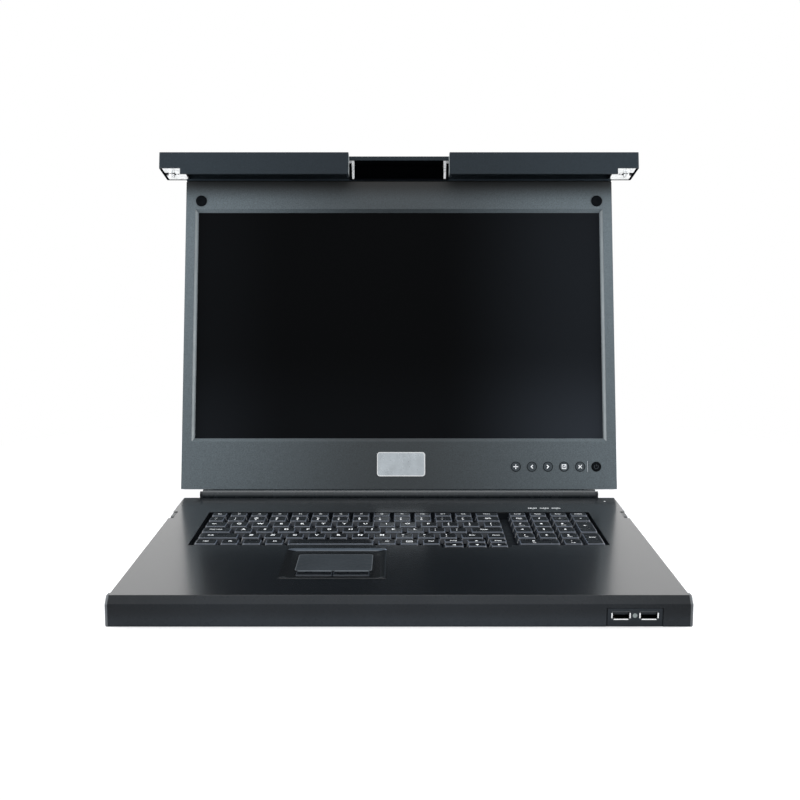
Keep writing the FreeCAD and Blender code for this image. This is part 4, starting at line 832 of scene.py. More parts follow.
class Glyph(Enum):
    """Signs drawn as polygons, 1 wide and centred."""

    UP = (((0.0, 0.45), (-0.45, -0.4), (0.45, -0.4)),)
    DOWN = (((0.0, -0.45), (0.45, 0.4), (-0.45, 0.4)),)
    LEFT = (((-0.45, 0.0), (0.4, -0.45), (0.4, 0.45)),)
    RIGHT = (((0.45, 0.0), (-0.4, 0.45), (-0.4, -0.45)),)
    MENU = (*box_lines(0.5, 0.4, 0.38, 0.28), bar(-0.25, 0.06, 0.25, 0.16),
            bar(-0.25, -0.16, 0.25, -0.06))
    SPREAD = (bar(-0.5, -0.085, 0.5, 0.085), ((0.0, 0.5), (-0.16, 0.3), (0.16, 0.3)),
              ((0.0, -0.5), (0.16, -0.3), (-0.16, -0.3)), bar(-0.07, 0.14, 0.07, 0.3),
              bar(-0.07, -0.3, 0.07, -0.14))
    BACK = (((-0.28, 0.0), (0.14, -0.42), (0.28, -0.28), (0.0, 0.0)),
            ((-0.28, 0.0), (0.0, 0.0), (0.28, 0.28), (0.14, 0.42)))
    ONWARD = (((0.28, 0.0), (0.0, 0.0), (-0.28, -0.28), (-0.14, -0.42)),
              ((0.28, 0.0), (-0.14, 0.42), (-0.28, 0.28), (0.0, 0.0)))
    CROSS = (((-0.38, -0.26), (-0.26, -0.38), (0.38, 0.26), (0.26, 0.38)),
             ((0.26, -0.38), (0.38, -0.26), (-0.26, 0.38), (-0.38, 0.26)))
    TICK_BOX = (*box_lines(0.46, 0.46, 0.32, 0.32),
                ((-0.22, 0.02), (-0.04, -0.2), (-0.02, -0.04), (-0.12, 0.1)),
                ((-0.04, -0.2), (0.26, 0.18), (0.16, 0.26), (-0.06, -0.02)))

    def outline(self) -> tuple[list[Point], list[tuple[int, ...]]]:
        """Points and faces of the sign.

        Returns:
            The points and the faces.
        """
        points: list[Point] = []
        faces = []
        for shape in self.value:
            faces.append(tuple(range(len(points), len(points) + len(shape))))
            points.extend(shape)
        return points, faces


@dataclass(frozen=True)
class Legend:
    """A word or sign on a key.

    Its size is in millimetres, and its place in shares of the key's top from its middle.
    """

    what: str | Glyph
    size: float
    right: float = 0.0
    up: float = 0.0


def word(text: str, size: float = 2.3, right: float = 0.0, up: float = 0.3) -> list[Legend]:
    """A key with one word."""
    return [Legend(text, size, right, up)]


def letter(text: str) -> list[Legend]:
    """A key with one capital letter."""
    return [Legend(text, 5.2, -0.06, 0.34)]


def pair(upper: str, lower: str) -> list[Legend]:
    """A key with a shifted sign above a plain one."""
    return [Legend(upper, 3.9, -0.2, 0.42), Legend(lower, 3.9, -0.2, -0.3)]


def digit(number: str, use: str) -> list[Legend]:
    """A number pad key with what it does without the lock."""
    return [Legend(number, 4.4, -0.12, 0.34)] + ([Legend(use, 2.1, 0.0, -0.42)] if use else [])


LETTERS: dict[str, list[list[Legend]]] = {
    "function_keys": [word(t, 2.7) for t in ["Esc"] + ["F%d" % n for n in range(1, 13)]
                      + ["Insert", "Scroll", "Pause", "PrtSc", "Delete"]],
    "number_keys": [pair(a, b) for a, b in zip("~!@#$%^&*()_+", "`1234567890-=")]
                   + [word("Back\nspace", 2.6)] + [word("Num\nLock", 2.6), letter("/"),
                                                   letter("*"), letter("-")],
    "upper_letter_keys": [word("Tab", 3.0, -0.3)] + [letter(c) for c in "QWERTYUIOP"]
                         + [pair("{", "["), pair("}", "]"), pair("|", "\\"), digit("7", "Home"),
                            digit("8", ""), digit("9", "PgUp"), letter("+")],
    "home_row_keys": [word("Caps Lock", 2.7, -0.1)] + [letter(c) for c in "ASDFGHJKL"]
                     + [pair(":", ";"), pair('"', "'"), word("Enter", 3.0, -0.2),
                        digit("4", ""), digit("5", ""), digit("6", "")],
    "lower_letter_keys": [word("Shift", 3.0, -0.45)] + [letter(c) for c in "ZXCVBNM"]
                         + [pair("<", ","), pair(">", "."), pair("?", "/"), word("Shift", 3.0),
                            word("Home", 2.6), digit("1", "End"), digit("2", ""),
                            digit("3", "PgDn"), word("Enter", 2.7)],
    "control_keys": [word("Ctrl", 3.0, -0.1), word("Fn", 3.4), [], word("Alt", 3.0),
                     word("Alt", 3.0), [Legend(Glyph.MENU, 5.6, 0.0, 0.1)], word("Ctrl", 3.0),
                     [Legend("0", 4.4, -0.3, 0.34), Legend("Ins", 2.3, -0.28, -0.42)],
                     [Legend(".", 5.2, -0.1, 0.4), Legend("Del", 2.3, 0.0, -0.42)],
                     word("PgUp", 2.7, 0, 0), [Legend(Glyph.UP, 3.4)], word("PgDn", 2.7, 0, 0),
                     [Legend(Glyph.LEFT, 3.4)], [Legend(Glyph.DOWN, 3.4)],
                     [Legend(Glyph.RIGHT, 3.4)]],
    "space_bar": [[]],
}


@dataclass(frozen=True)
class KeyCap:
    """One key: the box of its cap, and the shape of its dished top."""

    low: Vector
    high: Vector
    inset_side: float = 1.6 * MM
    inset_front: float = 1.6 * MM
    inset_rear: float = 1.12 * MM
    edge: float = 0.55 * MM
    dish: float = 0.3 * MM
    dish_corner: float = 2.0 * MM
    shoulder: float = 0.25 * MM
    shoulder_drop: float = 0.1 * MM
    skirt_corner: float = 0.9 * MM
    edge_rings: tuple[Point, ...] = ((1.0 * MM, 1.7 * MM), (0.4 * MM, 1.9 * MM))
    dish_shares: tuple[float, ...] = (1.0, 0.85, 0.6, 0.3)

    @property
    def top_middle(self) -> Point:
        """Centre of the top face."""
        return ((self.low.x + self.high.x) / 2,
                (self.low.y + self.high.y + self.inset_front - self.inset_rear) / 2)

    @property
    def top_half(self) -> Point:
        """Half width and half depth of the dished part of the top."""
        return ((self.high.x - self.low.x) / 2 - self.inset_side - self.edge,
                (self.high.y - self.low.y - self.inset_front - self.inset_rear) / 2 - self.edge)

    def height(self, x: float, y: float) -> float:
        """Height of the dished top at a point.

        Args:
            x: The point's place across.
            y: The point's place along.

        Returns:
            The height there.
        """
        middle, half = self.top_middle, self.top_half
        share = min(1.0, max(abs(x - middle[0]) / half[0], abs(y - middle[1]) / half[1]))
        return self.high.z - self.dish * (1.0 - share * share)

    def rings(self, underside: float) -> list[list[Vector]]:
        """Rings of the cap from its skirt to the middle of its dish.

        Args:
            underside: The height of the skirt's lower edge.

        Returns:
            The rings, from below to the top.
        """
        middle, half = middle_and_half(self.low, self.high)
        full = self.high.z - underside
        made = []
        for drop, radius in ((full, self.skirt_corner), *self.edge_rings):
            share = 1.0 - drop / full
            depth = (self.inset_front + self.inset_rear) / 2 * share
            shift = (self.inset_front - self.inset_rear) / 2 * share
            made.append([Vector((x, y, self.high.z - drop)) for x, y in rounded_rectangle(
                (middle[0], middle[1] + shift), (half[0] - self.inset_side * share,
                                                 half[1] - depth), radius)])
        top, reach = self.top_middle, self.top_half
        made.append([Vector((x, y, self.high.z - self.shoulder_drop))
                     for x, y in rounded_rectangle(
                         top, (reach[0] + self.shoulder, reach[1] + self.shoulder),
                         self.dish_corner)])
        for share in self.dish_shares:
            level = self.high.z - self.dish * (1.0 - share * share)
            made.append([Vector((x, y, level)) for x, y in rounded_rectangle(
                top, (reach[0] * share, reach[1] * share), self.dish_corner * share)])
        return made


@dataclass
class Keyboard:
    """The seven moving rows of keys, with their letters."""

    shop: Workshop
    cap_height: float = 5.0 * MM
    print_lift: float = 0.035 * MM
    short_key: float = 12.5 * MM
    front_row: float = -176.0 * MM
    widest_print: float = 0.96

    def keys_of(self, row: str) -> list[KeyCap]:
        """Finds the keys of a row in its solid, from the left, with short keys last.

        Args:
            row: The CAD node of the row.

        Returns:
            The caps in the order of the row's letters.
        """
        caps = [KeyCap(low, high) for low, high in loose_boxes(self.shop.nodes[row])]
        return sorted(caps, key=self.order)

    def order(self, cap: KeyCap) -> tuple[bool, bool, float]:
        """Sorts the short keys behind the others, and the front ones last."""
        short = cap.high.y - cap.low.y < self.short_key
        return short, short and cap.low.y < self.front_row, cap.low.x

    def build(self) -> None:
        """Builds the caps and the letters of every row."""
        letters = Lettering()
        for row, legends in LETTERS.items():
            caps = self.keys_of(row)
            body = self.shop.body(row)
            heap = Heap()
            for cap in caps:
                heap.loft(cap.rings(cap.high.z - self.cap_height))
            self.shop.add(row + "_caps", heap, Finishes.keys, body,
                          "key_plastic", [row], smooth=True)
            if len(caps) != len(legends):
                raise ValueError("%s has %d keys and %d legends" % (row, len(caps), len(legends)))
            ink = Heap()
            for cap, marks in zip(caps, legends):
                for mark in marks:
                    self.print_mark(ink, letters, cap, mark)
            if ink.faces:
                self.shop.add(row + "_letters", ink, Finishes.ink, body, "key_plastic")

    def print_mark(self, ink: Heap, letters: Lettering, cap: KeyCap, mark: Legend) -> None:
        """Lays a word or sign on the dished top of a key.

        Args:
            ink: The mesh that the mark goes into.
            letters: The source of letter shapes.
            cap: The key.
            mark: What is printed, and where.
        """
        if isinstance(mark.what, Glyph):
            points, faces = mark.what.outline()
        else:
            points, faces = letters.outline(mark.what)
        middle, half = cap.top_middle, cap.top_half
        size = mark.size * MM
        widest = max(abs(x) for x, _ in points) * size
        size *= min(1.0, self.widest_print * half[0] / widest)
        origin = (middle[0] + mark.right * half[0], middle[1] + mark.up * half[1])
        placed = [(origin[0] + x * size, origin[1] + y * size) for x, y in points]
        ink.take([Vector((x, y, cap.height(x, y) + self.print_lift)) for x, y in placed], faces)


def cross_slot(middle: Point, wide: float = 0.35 * MM, reach: float = 1.5 * MM) -> list[Point]:
    """Outline of the cross slot of a countersunk screw.

    Args:
        middle: The screw's middle.
        wide: Half the width of the slot's arms.
        reach: How far the arms reach from the middle.

    Returns:
        The outline's points, counter-clockwise.
    """
    outline = []
    for turn in range(4):
        for x, y in ((wide, wide), (wide, reach), (-wide, reach)):
            for _ in range(turn):
                x, y = -y, x
            outline.append((middle[0] + x, middle[1] + y))
    return outline


def middle_and_half(low: Vector, high: Vector, up: Axis = Axis.Y) -> tuple[Point, Point]:
    """Middle and half size of a box, along X and one other axis.

    Args:
        low: The box's lowest corner.
        high: Its highest corner.
        up: The other axis.

    Returns:
        The middle, and the half width and half height.
    """
    return (((low.x + high.x) / 2, (low[up] + high[up]) / 2),
            ((high.x - low.x) / 2, (high[up] - low[up]) / 2))


def place_level(x: float, y: float, z: float) -> Vector:
    """Places flat shapes level, with their height as Z."""
    return Vector((x, y, z))


class Clumps:
    """Groups of points that grow as faces join them."""

    def __init__(self, count: int) -> None:
        """Starts with each point in a group of its own."""
        self.parents = list(range(count))

    def root(self, item: int) -> int:
        """Finds the group of a point.

        Args:
            item: The point's number.

        Returns:
            The number of the group's first point.
        """
        while self.parents[item] != item:
            self.parents[item] = self.parents[self.parents[item]]
            item = self.parents[item]
        return item

    def join(self, first: int, second: int) -> None:
        """Puts the groups of two points together."""
        self.parents[self.root(second)] = self.root(first)


def loose_boxes(node: bpy.types.Object,
                frame: Optional[Matrix] = None) -> list[tuple[Vector, Vector]]:
    """Boxes of the separate solids in a node.

    Args:
        node: A CAD node's object.
        frame: What turns the shared frame into the one to measure in, where it is another.

    Returns:
        The lowest and highest corner of each solid.
    """
    spots: dict[tuple[int, int, int], int] = {}
    number = []
    for vertex in node.data.vertices:
        spot = tuple(round(c / WELD_REACH) for c in vertex.co)
        number.append(spots.setdefault(spot, len(spots)))
    clumps = Clumps(len(spots))
    for polygon in node.data.polygons:
        for index in polygon.vertices[1:]:
            clumps.join(number[polygon.vertices[0]], number[index])
    groups: dict[int, list[Vector]] = {}
    for vertex, spot in zip(node.data.vertices, number):
        point = vertex.co if frame is None else frame @ vertex.co
        groups.setdefault(clumps.root(spot), []).append(point)
    return [(Vector(min(p[i] for p in points) for i in range(3)),
             Vector(max(p[i] for p in points) for i in range(3))) for points in groups.values()]


BUMPER_PROFILE = ((5.7, 0.0), (5.65, 0.45), (5.3, 0.78), (4.6, 0.9), (3.2, 0.86), (2.2, 0.7),
                  (1.2, 0.45), (0.4, 0.4))


@dataclass
class Display:
    """The display: its case, screen, badge plate and bumpers."""

    shop: Workshop
    edge: float = 0.35 * MM
    print_lift: float = 0.04 * MM
    head_reach: float = 2.0 * MM
    screw_depth: float = 0.3 * MM
    rim_width: float = 3.3 * MM
    rim_depth: float = 3.3 * MM
    rim_shares: Point = (0.12, 0.7)
    glass_margin: float = 2.5 * MM
    badge_edge: float = 0.2 * MM
    badge_corner: float = 3.0 * MM
    badge_rim: Point = (0.2 * MM, 0.85 * MM)
    badge_highlight_levels: Point = (-0.15 * MM, 0.05 * MM)

    def on_back(self, x: float, z: float, depth: float) -> Vector:
        """Places flat shapes on the back of the case, with their height as local Y."""
        return self.shop.at(x, depth, z)

    def build(self) -> None:
        """Dresses the solids, and adds the trim, with its painted shade and highlights."""
        self.shop.dress_all([
            (Finishes.shell, self.edge, ["display_bezel", "display_back_cover"]),
            (Finishes.badge, self.badge_edge, ["badge_plate"]),
            (Finishes.screen, 0.0, ["screen_glass"]),
            (Finishes.black, 0.0, ["lcd_module"]),
            (Finishes.barrel, 0.0, ["hinge_barrel"]),
            (Finishes.board, 0.0, ["display_driver_board", "menu_board"]),
            (Finishes.screw, 0.0, ["display_screws"])])
        self.build_screw_slots()
        self.build_window_highlights()
        self.build_badge()
        self.build_bumpers()
        ButtonRow(self.shop).build()

    def build_screw_slots(self) -> None:
        """Cross slots in the screw heads on the back of the case, dark with painted shade."""
        back = self.shop.local_box("display_back_cover")[1].y
        slots = Heap()
        for low, high in loose_boxes(self.shop.nodes["display_screws"],
                                     self.shop.display.inverted()):
            if abs(high.y - back) < self.head_reach:
                middle, _ = middle_and_half(low, high, Axis.Z)
                slots.plate(cross_slot(middle), high.y - self.screw_depth,
                            high.y + self.print_lift, self.on_back)
        self.shop.add("display_screw_slots", slots, Finishes.dark_button,
                      "display", "zinc_steel")

    def build_window_highlights(self) -> None:
        """Painted highlights: light lines down the slopes at both sides of the screen's window."""
        glass_low, glass_high = self.shop.local_box("screen_glass")
        face = self.shop.local_box("display_bezel")[0].y
        inner = glass_high.x - self.glass_margin
        low, high = glass_low.z + self.glass_margin, glass_high.z - self.glass_margin
        rim, depth, lift = self.rim_width, self.rim_depth, self.print_lift
        near, far = self.rim_shares
        lines = Heap()
        for side in Side:
            rings = []
            for start, turn in ((low, -1), (high, 1)):
                ring = []
                for share, rise in ((near, 0.0), (near, lift), (far, lift), (far, 0.0)):
                    out = rim * (1 - share)
                    ring.append(self.shop.at(side.value * (inner + out - rise),
                                             face + depth * share - rise, start + turn * out))
                rings.append(ring)
            lines.loft(rings)
        self.shop.add("window_edges", lines, Finishes.window_shine, "display", "shell_grey")

    def build_badge(self) -> None:
        """A bare plate with a thin bright rim, a painted highlight round its edge."""
        low, high = self.shop.local_box("badge_plate")
        middle, half = middle_and_half(low, high, Axis.Z)
        outer, inner = (rounded_rectangle(middle, (half[0] - inset, half[1] - inset),
                                          self.badge_corner - inset, 6)
                        for inset in self.badge_rim)
        rim = Heap()
        rim.frame(outer, inner, *self.badge_highlight_levels, self.shop.on_face(low.y))
        self.shop.add("badge_rim", rim, Finishes.rim, "display", "badge_metal", smooth=True)

    def build_bumpers(self) -> None:
        """Two domed rubber bumpers with a dimple in the middle."""
        place = self.shop.on_face(self.shop.local_box("badge_plate")[1].y)
        domes = Heap()
        for low, high in loose_boxes(self.shop.nodes["display_bumpers"]):
            middle = self.shop.display.inverted() @ ((low + high) / 2)
            domes.loft([[place(x, z, lift * MM)
                         for x, z in circle((middle.x, middle.z), radius * MM)]
                        for radius, lift in BUMPER_PROFILE])
        self.shop.add("bumper_domes", domes, Finishes.rubber, "display",
                      "bumper_rubber", ["display_bumpers"], smooth=True)


BUTTON_SIGNS = {"menu_button_1": Glyph.SPREAD, "menu_button_2": Glyph.BACK,
                "menu_button_3": Glyph.ONWARD, "menu_button_4": Glyph.TICK_BOX,
                "menu_button_5": Glyph.CROSS, "display_power_button": None}


@dataclass
class ButtonRow:
    """The menu buttons and the power button at the display's lower edge."""

    shop: Workshop
    radius: float = 4.7 * MM
    edge: float = 0.3 * MM
    rise: float = 0.2 * MM
    sign_size: float = 4.9 * MM
    sign_levels: Point = (-0.05 * MM, 0.04 * MM)
    shade_ring_width: float = 0.55 * MM
    shade_ring_levels: Point = (-0.12 * MM, 0.03 * MM)
    ring_radii: Point = (2.3 * MM, 1.8 * MM)
    ring_start: float = 130.0
    ring_sweep: float = 280.0
    ring_steps: int = 20
    ring_bar: tuple[float, float, float] = (0.25 * MM, 0.3 * MM, 2.5 * MM)
    divider_gap: float = 3.1 * MM
    divider_half: Point = (0.22 * MM, 5.6 * MM)
    divider_corner: float = 0.2 * MM
    divider_levels: Point = (-0.3 * MM, 0.03 * MM)

    def build(self) -> None:
        """Dresses the buttons, and adds their signs, dark rings of painted shade round them, and
        the divider's painted highlight.
        """
        shade_rings = Heap()
        for name, glyph in BUTTON_SIGNS.items():
            self.shop.dress(name, Finishes.button if glyph else Finishes.dark_button, self.edge)
            low, high = self.shop.local_box(name)
            middle, _ = middle_and_half(low, high, Axis.Z)
            place = self.shop.on_face(low.y)
            self.build_sign(name, glyph, middle, place)
            # Dark rings round the buttons: painted shade at their edges.
            outer, inner = (circle(middle, self.radius + offset, 40)
                            for offset in (self.shade_ring_width / 2, -self.shade_ring_width / 2))
            shade_rings.frame(outer, inner, *self.shade_ring_levels, place)
        self.shop.add("button_collars", shade_rings, Finishes.shade, "display", "button_plastic",
                      smooth=True)
        self.build_divider()

    def build_sign(self, name: str, glyph: Optional[Glyph], middle: Point,
                   place: Placer) -> None:
        """Prints a button's sign.

        Args:
            name: The button's CAD node.
            glyph: Its sign, or None for the ring of the power button.
            middle: The button's centre on the face.
            place: The placer for the button's face.
        """
        sign = Heap()
        if glyph is None:
            self.draw_ring(sign, middle, place)
            self.shop.add("power_sign", sign, Finishes.touch, self.shop.body(name),
                          "button_plastic")
            return
        for shape in glyph.value:
            sign.plate([(middle[0] + x * self.sign_size, middle[1] + z * self.sign_size)
                        for x, z in shape], *self.sign_levels, place)
        self.shop.add(name + "_sign", sign, Finishes.ink, self.shop.body(name), "button_plastic")

    def draw_ring(self, sign: Heap, middle: Point, place: Placer) -> None:
        """The usual broken ring with a bar.

        Args:
            sign: The mesh that it goes into.
            middle: The button's centre on the face.
            place: The placer for the button's face.
        """
        outer, inner = (arc(middle, radius, self.ring_start, self.ring_sweep, self.ring_steps)
                        for radius in self.ring_radii)
        sign.ribbon(outer, inner, *self.sign_levels, place)
        wide, foot, top = self.ring_bar
        sign.plate([(middle[0] + x, middle[1] + z) for x, z in bar(-wide, foot, wide, top)],
                   *self.sign_levels, place)

    def build_divider(self) -> None:
        """A thin light line in the groove between the menu buttons and the power button: a painted
        highlight.
        """
        power = self.shop.local_box("display_power_button")[0]
        beside, _ = middle_and_half(*self.shop.local_box("menu_button_5"), Axis.Z)
        outline = rounded_rectangle((power.x - self.divider_gap, beside[1]), self.divider_half,
                                    self.divider_corner, 2)
        line = Heap()
        line.plate(outline, *self.divider_levels, self.shop.on_face(power.y + self.rise))
        self.shop.add("button_divider", line, Finishes.groove_shine, "display", "shell_grey")


@dataclass
class FrontPanel:
    """The 1U bar over the display, with its hand recess, ears and latches."""

    shop: Workshop
    edge: float = 0.5 * MM
    plate_edge: float = 0.2 * MM
    wall: float = 2.0 * MM
    seat: float = 1.5 * MM
    hand_depth: float = 13.9 * MM
    lip_wall: float = 1.5 * MM
    tab_inset: float = 5.3 * MM
    cheek_margins: Point = (0.4 * MM, 0.5 * MM)
    cheek_corner: float = 0.6 * MM
    stud_radius: float = 3.1 * MM
    slot_gap: float = 0.4 * MM
    slot_shade_width: float = 1.3 * MM
    arc_steps: int = 16
    dot_inset: float = 6.8 * MM
    dot_radius: float = 1.2 * MM
    edge_shade_insets: Point = (0.3 * MM, 0.8 * MM)
    sheet: float = 0.2 * MM
    gap: float = 0.05 * MM

    def build(self) -> None:
        """Dresses the bar, its ear plates and its latches, and adds their trim: painted shade in
        the recess and on the ears, and painted highlights on the recess's cheeks.
        """
        self.shop.dress("front_panel_shell", Finishes.bar, self.edge)
        for side in Side:
            self.shop.dress("ear_plate_" + side.word, Finishes.zinc, self.plate_edge)
            self.shop.dress("panel_latch_" + side.word, Finishes.tab, self.plate_edge)
        self.build_recess()
        self.build_ear_shade()

    def on_cheek(self, side: Side) -> Placer:
        """Returns a placer for flat shapes (into the display, up, out) on a recess cheek."""
        return lambda y, z, x: self.shop.at(side.value * x, y, z)

    def under_ear(self, side: Side, level: float) -> Placer:
        """Returns a placer for flat shapes (out, into the display, down) under an ear."""
        return lambda x, y, lift: self.shop.at(side.value * x, y, level - lift)

    def shade_sheet_section(self) -> list[Point]:
        """Section of the black sheet of painted shade in the hand recess, as (into the display,
        up).

        Returns:
            The outline's points.
        """
        low, high = self.shop.local_box("front_panel_shell")
        front = self.shop.local_box("display_bezel")[0].y - self.gap
        case_top = self.shop.local_box("display_back_cover")[1].z
        seat = case_top + self.seat + self.gap
        back, top = high.y - self.wall - self.gap, high.z - self.wall - self.gap
        lip_back = low.y + self.hand_depth + self.lip_wall + self.gap
        thin = self.sheet
        return [(front - thin, case_top), (front - thin, seat + thin), (back - thin, seat + thin),
                (back - thin, top - thin), (lip_back, top - thin), (lip_back, top), (back, top),
                (back, seat), (front, seat), (front, case_top)]

    def build_recess(self) -> None:
        """A black sheet of painted shade inside the hand recess, and light cheeks of painted
        highlight at its sides.
        """
        half = self.shop.local_box("panel_latch_right")[0].x + self.tab_inset - self.gap
        shade_sheet = Heap()
        shade_sheet.loft([[self.shop.at(x, y, z) for y, z in self.shade_sheet_section()]
                     for x in (-half, half)])
        self.shop.add("recess_lining", shade_sheet, Finishes.shade, "display", "black_plastic")
        low, high = self.shop.local_box("front_panel_shell")
        case_top = self.shop.local_box("display_back_cover")[1].z
        middle = (low.y + self.hand_depth / 2, (case_top + high.z) / 2)
        size = (self.hand_depth / 2 - self.cheek_margins[0],
                (high.z - case_top) / 2 - self.cheek_margins[1])
        outline = rounded_rectangle(middle, size, self.cheek_corner)
        cheeks = Heap()
        for side in Side:
            cheeks.plate(outline, half - self.sheet, half, self.on_cheek(side))
        self.shop.add("recess_cheeks", cheeks, Finishes.cheek, "display", "black_plastic")

    def build_ear_shade(self) -> None:
        """Dark edges of painted shade on the ear plates: round the stud's slot, in the small hole
        and along two sides.
        """
        low, high = self.shop.local_box("front_panel_shell")
        plate_low, plate_high = self.shop.local_box("ear_plate_right")
        middle = (low.y + high.y) / 2
        stud = self.shop.local_box("panel_latch_right")[1].x - self.stud_radius
        slot, end = self.stud_radius + self.slot_gap, high.x - self.wall
        lines = [[(end, middle + radius),
                  *arc((stud, middle), radius, 90.0, 180.0, self.arc_steps),
                  (end, middle - radius)] for radius in (slot + self.slot_shade_width, slot)]
        corner = [[(x, low.y + self.wall), (x, y), (plate_low.x, y)] for x, y in (
            (high.x - self.edge_shade_insets[0], high.y - self.edge_shade_insets[0]),
            (plate_high.x - self.edge_shade_insets[1], plate_high.y - self.edge_shade_insets[1]))]
        dot = circle((stud - self.dot_inset, middle), self.dot_radius, 12)
        shade_marks = Heap()
        for side in Side:
            place = self.under_ear(side, plate_low.z)
            shade_marks.ribbon(*lines, 0.0, self.gap, place)
            shade_marks.ribbon(*corner, 0.0, self.gap, place)
            shade_marks.plate(dot, -self.gap, self.gap, place)
        self.shop.add("ear_trim", shade_marks, Finishes.shade, "display", "black_plastic")


@dataclass
class Tray:
    """The sliding tray: deck, lip, touchpad, USB module, pan and rear bay."""

    shop: Workshop
    print_lift: float = 0.03 * MM
    lettering: float = 3.8 * MM
    name_gap: float = 3.6 * MM
    dot_inset: Point = (11.7 * MM, 14.8 * MM)
    dot_radius: float = 1.0 * MM
    head_reach: float = 0.1 * MM
    slot_levels: Point = (0.02 * MM, 0.3 * MM)

    def build(self) -> None:
        """Dresses the tray's solids, and adds the trim, with its painted shade and highlights, and
        the print on its deck.
        """
        sides = [side.word for side in Side]
        self.shop.dress_all([
            (Finishes.deck, 0.3 * MM, ["deck_cover"]),
            (Finishes.lip, 0.4 * MM, ["front_lip"]),
            (Finishes.cap, 0.3 * MM, ["lip_end_caps"]),
            (Finishes.pan, 0.2 * MM, ["base_pan", "rear_bay_cover", "rear_panel", "power_supply"]),
            (Finishes.pan, 0.2 * MM, ["hinge_bracket_" + side for side in sides]),
            (Finishes.black, 0.0, ["keyboard_plate", "power_inlet", "rear_ports"]),
            (Finishes.lever, 0.2 * MM, ["slide_release_" + side for side in sides]),
            (Finishes.steel, 0.0, ["slide_%s_%s" % (member, side) for side in sides
                                   for member in ("outer", "middle", "inner")]),
            (Finishes.zinc, 0.0, ["outer_roller_strips", "inner_roller_strips", "tray_screws"]),
            (Finishes.lamp, 0.0, ["indicator_lamps"]),
            (Finishes.board, 0.0, ["main_board"])])
        self.print_deck()
        Touchpad(self.shop).build()
        UsbModule(self.shop).build()
        self.build_screw_drives()

    def build_screw_drives(self) -> None:
        """Cross slots in the countersunk heads of the tray's underside, dark with painted shade.
        """
        below = Heap()
        for low, high in loose_boxes(self.shop.nodes["tray_screws"]):
            if low.z < self.head_reach:
                middle, _ = middle_and_half(low, high)
                below.plate(cross_slot(middle), *self.slot_levels, place_level)
        self.shop.add("tray_screw_slots", below, Finishes.dark_button, "drawer", "zinc_steel")

    def print_deck(self) -> None:
        """The names of the lock lamps, and a small dot by the right end of the hinge."""
        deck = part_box("deck_cover")[1]
        level = deck.z + self.print_lift
        lamps = [box for box in loose_boxes(self.shop.nodes["indicator_lamps"])
                 if box[1].z > deck.z]
        lamps.sort(key=lambda box: box[0].x)
        letters = Lettering()
        ink = Heap()
        for name, (low, high) in zip(("NUM", "CAPS", "SCRL"), lamps):
            points, faces = letters.outline(name)
            across, up = (low.x + high.x) / 2, high.y + self.name_gap
            ink.take([Vector((across + x * self.lettering, up + y * self.lettering, level))
                      for x, y in points], faces)
        outline = circle((deck.x - self.dot_inset[0], deck.y - self.dot_inset[1]),
                         self.dot_radius, 16)
        ink.take([Vector((x, y, level)) for x, y in outline], [tuple(range(len(outline)))])
        self.shop.add("deck_print", ink, Finishes.ink, "drawer", "deck_black")


